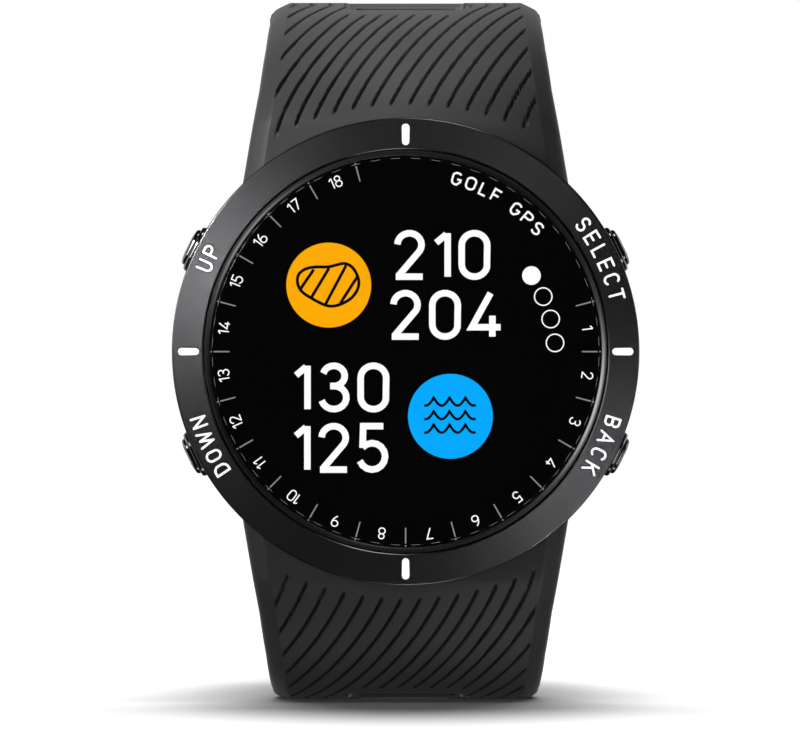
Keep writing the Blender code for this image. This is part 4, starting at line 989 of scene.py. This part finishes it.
def sheet(side, rows, columns, outer, shape):
    """World points of one face of a half: rows x columns, set inward from the strap's line by its depth."""
    a, b, q = columns
    s = np.zeros((len(rows), len(a)))
    x_rim = a * (STATIONS[1, 1] + LUG_FLARE - MARGIN) + b
    z_rim = np.sqrt(HOLD_R**2 - x_rim**2)
    s_rim = FRONT_BEND * (np.arcsin((z_rim - BEND_Z) / FRONT_BEND) - RIM_HEADING)
    for i, (kind, value) in enumerate(rows):
        if kind == "near":
            s[i] = s_rim + (FIRST_S - s_rim) * value
        else:
            s[i] = value[0] if kind == "slot" else value
    half, thick, share, swell = shape(s)
    margin = np.minimum(MARGIN, half * share / 2)
    x = a * (half * share - margin) + b * margin / MARGIN
    for i, (kind, value) in enumerate(rows):
        if kind == "slot":
            s[i] = value[0] + value[1] * slot_bend(x[i])
    y, z, heading = band_line(s, side)
    if outer:
        depth = thick / 2 - (thick / 2 + swell) * (1 - q)
        depth = depth + groove_depth(x, s, side)
        recess = smooth_step(s, 16.2, 17.9) * (1 - smooth_step(s, 21.4, 23.0))
        depth = depth + RECESS_DEPTH * recess * (1 - smooth_step(np.abs(x), 5.3, 5.9))
    else:
        depth = thick / 2 + (thick / 2 + swell) * (1 - q)
    y, z = y + depth * np.cos(heading), z - depth * np.sin(heading)
    z = side * z
    if side < 0:
        z = np.maximum(z, REST_Z + 0.0005)
    return world(x, y, z), x


def strap_half(name, side, slots, end, ends, shape, stands_for, notch=None):
    """Outer and inner sheets, the walls of the slots and the two ends, and the edges between the sheets. The
    inner sheet has fewer rows, so along an edge each outer step takes the inner row nearest to it."""
    outer_rows, outer_slots = rows_of(slots, end, ends, True)
    inner_rows, inner_slots = rows_of(slots, end, ends, False)
    top, x_top = sheet(side, outer_rows, OUTER, True, shape)
    low, _ = sheet(side, inner_rows, INNER, False, shape)
    rows_t, cols_t = top.shape[:2]
    rows_l, cols_l = low.shape[:2]
    shift = rows_t * cols_t
    panel = PANEL_COLUMNS
    first_t, first_l = (cols_t - panel) // 2, (cols_l - panel) // 2
    top_id = np.arange(shift).reshape(rows_t, cols_t)
    low_id = shift + np.arange(rows_l * cols_l).reshape(rows_l, cols_l)
    keep_t = np.ones((rows_t - 1, cols_t - 1), bool)
    keep_l = np.ones((rows_l - 1, cols_l - 1), bool)
    walls = []

    def wall(ids_t, ids_l):
        """Four-sided faces between a run of outer points and the run of inner points below it."""
        walls.append(np.stack([ids_t[:-1], ids_t[1:], ids_l[1:], ids_l[:-1]], 1))

    openings = [(rt, rt + 1, rl, rl + 1, SLOT_HALF_LENGTH, True) for rt, rl in zip(outer_slots, inner_slots)]
    if notch:
        at, half = notch
        rt = min(i for i, (k, v) in enumerate(outer_rows) if k == "s" and abs(v - at) < 1e-6)
        rl = min(i for i, (k, v) in enumerate(inner_rows) if k == "s" and abs(v - at) < 1e-6)
        openings.append((rt, rows_t - 1, rl, rows_l - 1, half, False))
    for rt, rt_end, rl, rl_end, half_length, closed in openings:
        inside = np.flatnonzero(np.abs(x_top[rt, first_t : first_t + panel]) <= half_length)
        c0, c1 = inside[0], inside[-1]
        t0, t1, l0, l1 = first_t + c0, first_t + c1, first_l + c0, first_l + c1
        keep_t[rt:rt_end, t0:t1] = False
        keep_l[rl:rl_end, l0:l1] = False
        wall(top_id[rt, t0 : t1 + 1], low_id[rl, l0 : l1 + 1])
        if closed:
            wall(top_id[rt_end, t0 : t1 + 1], low_id[rl_end, l0 : l1 + 1])
        for t, l in ((t0, l0), (t1, l1)):
            wall(top_id[rt : rt_end + 1, t], low_id[rl : rl_end + 1, l])
    quads_t = grid_faces(rows_t, cols_t)[keep_t.ravel()]
    quads_l = grid_faces(rows_l, cols_l)[keep_l.ravel()] + shift
    ends_faces = []
    for row_t, row_l in ((0, 0), (rows_t - 1, rows_l - 1)):
        if row_t and notch:
            continue
        run_t = top_id[row_t, first_t : first_t + panel]
        run_l = low_id[row_l, first_l : first_l + panel]
        ends_faces.append(np.stack([run_t[:-1], run_t[1:], run_l[1:], run_l[:-1]], 1))
        for turned_round, part in ((1, slice(0, first_t + 1)), (-1, slice(first_t + panel - 1, None))):
            corner_t = top_id[row_t, part][::turned_round]
            part_l = slice(0, first_l + 1) if turned_round == 1 else slice(first_l + panel - 1, None)
            corner_l = low_id[row_l, part_l][::turned_round]
            ends_faces.append([list(corner_t) + list(corner_l[::-1])])
    along_t = np.array([row_place(r) for r in outer_rows])
    along_l = np.array([row_place(r) for r in inner_rows])
    nearest = np.searchsorted(along_l + 1e-7, along_t[:-1] + 0.5 * np.diff(along_t)) - 1
    nearest = np.clip(nearest, 0, rows_l - 2)
    halfway = 0.5 * (along_l[nearest] + along_l[nearest + 1])
    lower = np.where(along_t[1:] <= halfway + 1e-9, nearest, nearest + 1)
    lower[0] = 0
    lower = np.maximum.accumulate(lower)
    for column_t, column_l in ((0, 0), (cols_t - 1, cols_l - 1)):
        walls.append(np.stack([top_id[:-1, column_t], top_id[1:, column_t], low_id[lower, column_l]], 1))
        for i in range(1, len(lower)):
            for j in range(lower[i - 1], lower[i]):
                walls.append(np.array([[top_id[i, column_t], low_id[j, column_l], low_id[j + 1, column_l]]]))
        for j in range(lower[-1], rows_l - 1):
            walls.append(np.array([[top_id[-1, column_t], low_id[j, column_l], low_id[j + 1, column_l]]]))
    points = np.concatenate([top.reshape(-1, 3), low.reshape(-1, 3)])
    faces = [quads_t, quads_l] + walls + ends_faces
    return make_piece(name, points, faces, None, silicone_rubber, "silicone", stands_for, 40.0)


def row_place(row):
    """One number for a row's place along the strap, for matching rows of the two faces."""
    kind, value = row
    if kind == "near":
        return 14 * value - 10
    return value[0] + value[1] if kind == "slot" else value


print("strap sheet ready")

# %% Tail half
TAIL_END, TIP = 105.0, 6.0


def tail_shape(s):
    """Half width, thickness, width share and swelling: the last 6 mm round off as sqrt(1 - (0.93 t)^2)."""
    half, thick = band_size(s)
    t = np.clip((s - (TAIL_END - TIP)) / TIP, 0, 1)
    return half, thick, np.sqrt(1 - (0.93 * t) ** 2), -0.45 * t**3


tip_rows = TAIL_END - TIP + TIP * np.sin(np.radians(np.linspace(0, 90, 15)))
strap_half("strap_tail_half", -1, 12, TAIL_END - TIP - 0.6, tip_rows, tail_shape, ["strap_lower"])

# %% Buckle half
BAR_S, BARREL_R, NOTCH_HALF = 74.0, 1.9, 4.25
NOTCH_S = BAR_S - BARREL_R - 0.35


def buckle_shape(s):
    """As the tail's, but its end is a barrel round the bar: half thickness sqrt(R^2 - (s - bar)^2)."""
    half, thick = band_size(s)
    circle = np.sqrt(np.clip(BARREL_R**2 - (s - BAR_S) ** 2, 0, None))
    swell = np.where(s < BAR_S, np.maximum(circle, thick / 2), circle) - thick / 2
    return half, thick, 1 - 0.01 * (s > BAR_S + 1.0), swell


barrel_rows = np.concatenate([[NOTCH_S], BAR_S + BARREL_R * np.sin(np.radians(np.linspace(-62, 90, 20)))])
notch = (NOTCH_S, NOTCH_HALF)
strap_half("strap_buckle_half", 1, 5, NOTCH_S - 0.6, barrel_rows, buckle_shape, ["strap_upper"], notch)

# %% [markdown]
# Each half's mesh is baked where it stands. The points 22.4 and 24.6 mm from the dial's centre are worked out
# but not used, and neither half is hung on a body.

# %% Baking the strap halves
for name, body, side in (("strap_tail_half", "lower_strap", -1), ("strap_buckle_half", "upper_strap", 1)):
    piece = bpy.data.objects[name]
    world(0, 4.8, side * 22.4)
    world(0, 6.6, side * 24.6)
    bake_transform(piece)

# %% [markdown]
# ## Push buttons
# Each button is a polished cap with a low shoulder and a domed middle. It is a stack of rounded outlines:
# each level has its own inset from the outer outline and its own height away from the case.

# %% Buttons
BUTTON_ANGLES = {"select": 26.0, "back": -26.0, "up": 154.0, "down": 206.0}
BUTTON_Y, BUTTON_LENGTH, BUTTON_HEIGHT = 6.4, 4.7, 3.4
LEVELS = [
    (0.0, 21.2),
    (0.0, 23.15),
    (0.04, 23.28),
    (0.12, 23.38),
    (0.24, 23.43),
    (0.40, 23.44),
    (0.45, 23.47),
    (0.48, 23.64),
    (0.54, 23.74),
    (0.66, 23.82),
    (0.95, 23.88),
    (1.25, 23.92),
    (1.5, 23.94),
]


def stadium(inset, steps=24):
    """Rounded outline (depth, around), set in from the cap's: two half circles joined by straight sides."""
    radius = BUTTON_HEIGHT / 2 - inset
    reach = BUTTON_LENGTH / 2 - BUTTON_HEIGHT / 2
    a = np.radians(np.linspace(0, 180, steps))
    depth = np.concatenate([radius * np.cos(a), -radius * np.cos(a)])
    around = np.concatenate([reach + radius * np.sin(a), -reach - radius * np.sin(a)])
    return depth, around


STEM_R, STEM_END_R = 0.9, 18.0
FOOT_R = LEVELS[0][1]
for name, degrees in BUTTON_ANGLES.items():
    angle = math.radians(degrees)
    depth, around = (np.array(x) for x in zip(*(stadium(inset) for inset, _ in LEVELS)))
    r = np.array([height for _, height in LEVELS])[:, None] + 0 * depth
    foot = np.array([[STEM_R, FOOT_R], [STEM_R, STEM_END_R], [0.0, STEM_END_R]])
    turn = np.linspace(0, 2 * np.pi, depth.shape[1], endpoint=False)[None, :]
    stem_depth, stem_around = foot[:, :1] * np.cos(turn), foot[:, :1] * np.sin(turn)
    stem_r = foot[:, 1:] + 0 * turn
    depth = np.concatenate([stem_depth[::-1], depth, depth[-1:] * 0])
    around = np.concatenate([stem_around[::-1], around, around[-1:] * 0])
    r = np.concatenate([stem_r[::-1], r, r[-1:] + 0.005])
    x = r * math.cos(angle) - around * math.sin(angle)
    z = r * math.sin(angle) + around * math.cos(angle)
    points = world(x, BUTTON_Y + depth, z)
    faces = [grid_faces(len(points), points.shape[1], False, True)]
    packed = [f"button_{name}"]
    make_piece(f"button_cap_{name}", points, faces, f"{name}_button", mirror_steel, "polished_metal", packed)

# %% [markdown]
# ## Parts that keep their imported shape
# The case wall, back, screws, contacts, bars, buckle and keepers are already the right shape. A copy of the
# case wall, the back, the buckle, its prong and each keeper is merged, its flat faces are joined and its
# edges get a small live bevel, so that they catch the light as real moulded and polished edges do. The
# screws, contacts and bars keep their own mesh and only get a finish.


# %% Finished copies
def finished_copy(node, new_name, body, finish, slot, bevel_mm, segments=3, angle=32.0):
    """The node's triangles merged, flat neighbours joined, and a bevel on edges sharper than angle."""
    source = frame["nodes"][node]
    mesh = source.data.copy()
    mesh.name = new_name
    bm = bmesh.new()
    bm.from_mesh(mesh)
    bmesh.ops.remove_doubles(bm, verts=bm.verts, dist=0.001 * MM)
    bmesh.ops.dissolve_limit(bm, angle_limit=math.radians(0.5), verts=bm.verts, edges=bm.edges)
    bm.to_mesh(mesh)
    bm.free()
    mesh.shade_smooth()
    mesh.set_sharp_from_angle(angle=math.radians(angle))
    mesh.materials.clear()
    mesh.materials.append(finish)
    piece = bpy.data.objects.new(new_name, mesh)
    bpy.context.scene.collection.objects.link(piece)
    rounding = piece.modifiers.new("edges", "BEVEL")
    rounding.width = bevel_mm * MM
    rounding.segments = segments
    rounding.limit_method = "ANGLE"
    rounding.angle_limit = math.radians(angle)
    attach(piece, body)
    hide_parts(node)
    return piece


COPIES = [
    ("mid_case", "case_wall", "case", filled_nylon, "black_plastic", 0.10),
    ("case_back", "case_back_plate", "case", blasted_steel, "blasted_metal", 0.08),
    ("buckle_frame", "buckle_loop", "buckle", bright_steel, "polished_metal", 0.30),
    ("buckle_tang", "buckle_prong", "tang", bright_steel, "polished_metal", 0.16),
    ("fixed_keeper", "keeper_fixed", "upper_strap", silicone_rubber, "silicone", 0.25),
    ("free_keeper", "keeper_free", "loose_keeper", silicone_rubber, "silicone", 0.25),
]
for copy in COPIES:
    finished_copy(*copy)
print(len(COPIES), "finished copies")

# %% Finishes of the parts that keep their own mesh
FOUR = range(1, 5)  # the screws and the contacts are numbered 1 to 4
KEPT = {
    bright_steel: [
        "buckle_bar",
        "spring_bar_upper",
        "spring_bar_lower",
        "vibration_motor",
        *(f"case_screw_{i}" for i in FOUR),
        *(f"button_clip_{name}" for name in BUTTON_ANGLES),
        *(f"switch_{name}" for name in BUTTON_ANGLES),
    ],
    gold_contact: [f"charge_contact_{i}" for i in FOUR],
    nitrile_seal: ["lens_gasket", "case_back_gasket", *(f"button_seal_{name}" for name in BUTTON_ANGLES)],
    diffuser_sheet: ["display_backlight"],
    filled_nylon: ["display_tray"],
    solder_mask: ["main_board"],
    alumina: ["gps_antenna"],
    pouch_foil: ["battery"],
}
for finish, nodes in KEPT.items():
    for node in nodes:
        mesh = frame["nodes"][node].data
        mesh.materials.clear()
        mesh.materials.append(finish)
print(sum(len(n) for n in KEPT.values()), "nodes keep their mesh")

# %% [markdown]
# ## Paper and lamps
# The floor is a sheet of white paper. Lamps alone give too pale a shadow under the strap, so a painted shadow
# darkens the paper in a long oval there: its distance from the middle, each way divided by the oval's half
# width, drives the colour. The paper doesn't show in the metal, throw light back at the watch or block the
# lamps that stand low.

# %% Floor
floor_low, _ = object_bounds()
FLOOR_HALF = 6.0  # metres
POOL_X, POOL_Y, POOL_CENTRE = 17.5, 62.0, -20.0
floor_mesh = bpy.data.meshes.new("floor")
corners = [(FLOOR_HALF * x, FLOOR_HALF * y) for x, y in ((-1, -1), (1, -1), (1, 1), (-1, 1))]
floor_mesh.from_pydata([(x, y, min(0.0, floor_low.z)) for x, y in corners], [], [(0, 1, 2, 3)])
floor = bpy.data.objects.new("floor", floor_mesh)
bpy.context.scene.collection.objects.link(floor)
paper, tree, out = new_finish("paper_white_painted_shadow")
fibre = grain(tree, 0.6, 3.0)
place = add(tree, "ShaderNodeTexCoord").outputs["Object"]
nearness = add(tree, "ShaderNodeMapping", Vector=place, Scale=(1 / (POOL_X * MM), 1 / (POOL_Y * MM), 0.0))
nearness.inputs["Location"].default_value = (0.0, -POOL_CENTRE / POOL_Y, 0.0)
distance = add(tree, "ShaderNodeVectorMath", {"operation": "LENGTH"}, _0=nearness.outputs[0]).outputs["Value"]
smooth = {"interpolation_type": "SMOOTHSTEP"}
painted_shadow = add(tree, "ShaderNodeMapRange", smooth, Value=distance, From_Min=0.5, From_Max=1.65)
# Painted shadow: #969696 in the middle of the oval, fading out to the paper's #f4f4f4.
sheet_colour = tinted(tree, painted_shadow.outputs[0], "#969696", "#f4f4f4")
sheet_rough = scaled(tree, fibre, 0.05, 0.9)
sheet_shader = add(tree, "ShaderNodeBsdfPrincipled", Base_Color=sheet_colour, Roughness=sheet_rough)
sheet_shader.inputs["Specular IOR Level"].default_value = 0.1
tree.links.new(sheet_shader.outputs[0], out.inputs[0])
floor_mesh.materials.append(paper)
floor.visible_glossy = False
floor.visible_transmission = False
floor.visible_diffuse = False
floor.visible_shadow = False
print("paper", 2 * FLOOR_HALF, "m wide")

# %% [markdown]
# A broad lamp overhead gives the soft shadow. Small lamps near the lens are what the dark metal mirrors,
# each one brightening one stretch of the bezel's ring or its lip. Spots light patches of the strap, and
# four large cards that show only in reflections stand beside and behind the watch.

# %% Lamps
DIAL_POINT = world(0.0, 0.0, 0.0)
STRAP_FACE_Y = 8.0
SPOT_OFF_AXIS, SPOT_DISTANCE, SPOT_SOFTNESS = 38.0, 1.0, 0.002


def way_to(azimuth, off_axis):
    """The direction that stands off_axis degrees off the line to the camera, towards azimuth, which runs
    anticlockwise from 3 o'clock as seen in the view: (sin t cos a, -cos t, sin t sin a)."""
    a, t = math.radians(azimuth), math.radians(off_axis)
    return np.array([math.sin(t) * math.cos(a), -math.cos(t), math.sin(t) * math.sin(a)])


def hung(name, data, target, way, distance):
    """A lamp at target + way * distance, with its -Z axis turned to the target."""
    holder = bpy.data.objects.new(name, data)
    bpy.context.scene.collection.objects.link(holder)
    holder.location = np.asarray(target) + way * distance
    holder.rotation_mode = "QUATERNION"
    holder.rotation_quaternion = Vector((-way).tolist()).to_track_quat("-Z", "Y")
    return holder


def lamp(name, azimuth, off_axis, distance, size, power):
    """A round soft lamp aimed at the dial, size metres across, and hidden from the camera."""
    data = bpy.data.lights.new(name, "AREA")
    data.shape = "DISK"
    data.size = size
    data.energy = power
    hung(name, data, DIAL_POINT, way_to(azimuth, off_axis), distance).visible_camera = False


def spot(name, x, z, radius, power, azimuth):
    """A narrow lamp with a soft rim that lights a round patch of the strap, of this radius round (x, z)."""
    data = bpy.data.lights.new(name, "SPOT")
    data.energy = power
    data.spot_size = 2 * math.atan(radius * MM / SPOT_DISTANCE)
    data.spot_blend = 1.0
    data.shadow_soft_size = SPOT_SOFTNESS
    hung(name, data, world(x, STRAP_FACE_Y, z), way_to(azimuth, SPOT_OFF_AXIS), SPOT_DISTANCE)


def card(name, way, size, power):
    """A square card of light behind or beside the watch, seen only in reflections."""
    data = bpy.data.lights.new(name, "AREA")
    data.size = size
    data.energy = power
    way = np.array(way) / np.linalg.norm(way)
    holder = hung(name, data, DIAL_POINT + np.array([0.0, 0.03, 0.0]), way, 1.5)
    holder.visible_camera = False
    holder.visible_diffuse = False


sun = bpy.data.lights.new("overhead", "SUN")
SUN_TILT = 45.0
sun.energy = 3.75 / math.cos(math.radians(SUN_TILT))
sun.angle = math.radians(60)
overhead = bpy.data.objects.new("overhead", sun)
bpy.context.scene.collection.objects.link(overhead)
overhead.rotation_euler = (math.radians(-SUN_TILT), 0.0, 0.0)
overhead.visible_glossy = False

lamp("ring_upper_left", -22.0, 13.0, 1.2, 0.10, 0.42)
lamp("ring_lower_right", 142.0, 13.0, 1.2, 0.10, 0.18)
lamp("ring_upper_right", -125.0, 12.0, 1.2, 0.10, 0.035)
lamp("lip_right", 165.0, 50.0, 1.0, 0.45, 2.6)
lamp("lip_left", -35.0, 50.0, 1.0, 0.40, 1.0)
spot("strap_top_left", -13.0, 24.5, 28.0, 38.0, 150.0)
spot("strap_top", 0.0, 36.0, 14.0, 18.0, 90.0)
spot("strap_bottom_right", 13.0, -21.5, 16.0, 6.0, -50.0)
spot("strap_bottom", 0.0, -31.0, 30.0, 2.2, -90.0)
lamp("caps_from_above", 80.0, 78.0, 1.0, 0.35, 1.6)
lamp("caps_from_below", -85.0, 78.0, 1.0, 0.35, 0.8)
card("back_left", (-0.7, 0.7, 0.0), 1.7, 7.0)
card("back_right", (0.7, 0.7, 0.0), 1.7, 7.0)
card("side_left", (-1.0, 0.15, 0.1), 0.7, 2.0)
card("side_right", (1.0, 0.15, 0.1), 0.7, 2.0)

world_shader = bpy.data.worlds.new("studio")
bpy.context.scene.world = world_shader
world_shader.use_nodes = True
tree = world_shader.node_tree
tree.nodes.clear()
sky_out = add(tree, "ShaderNodeOutputWorld")
seen = add(tree, "ShaderNodeLightPath").outputs["Is Camera Ray"]
dim = add(tree, "ShaderNodeBackground", Color=linear("#ffffff"), Strength=0.02)
bright = add(tree, "ShaderNodeBackground", Color=linear("#ffffff"), Strength=1.0)
mix = add(tree, "ShaderNodeMixShader", _0=seen, _1=dim.outputs[0], _2=bright.outputs[0])
tree.links.new(mix.outputs[0], sky_out.inputs[0])
print("lamps ready")
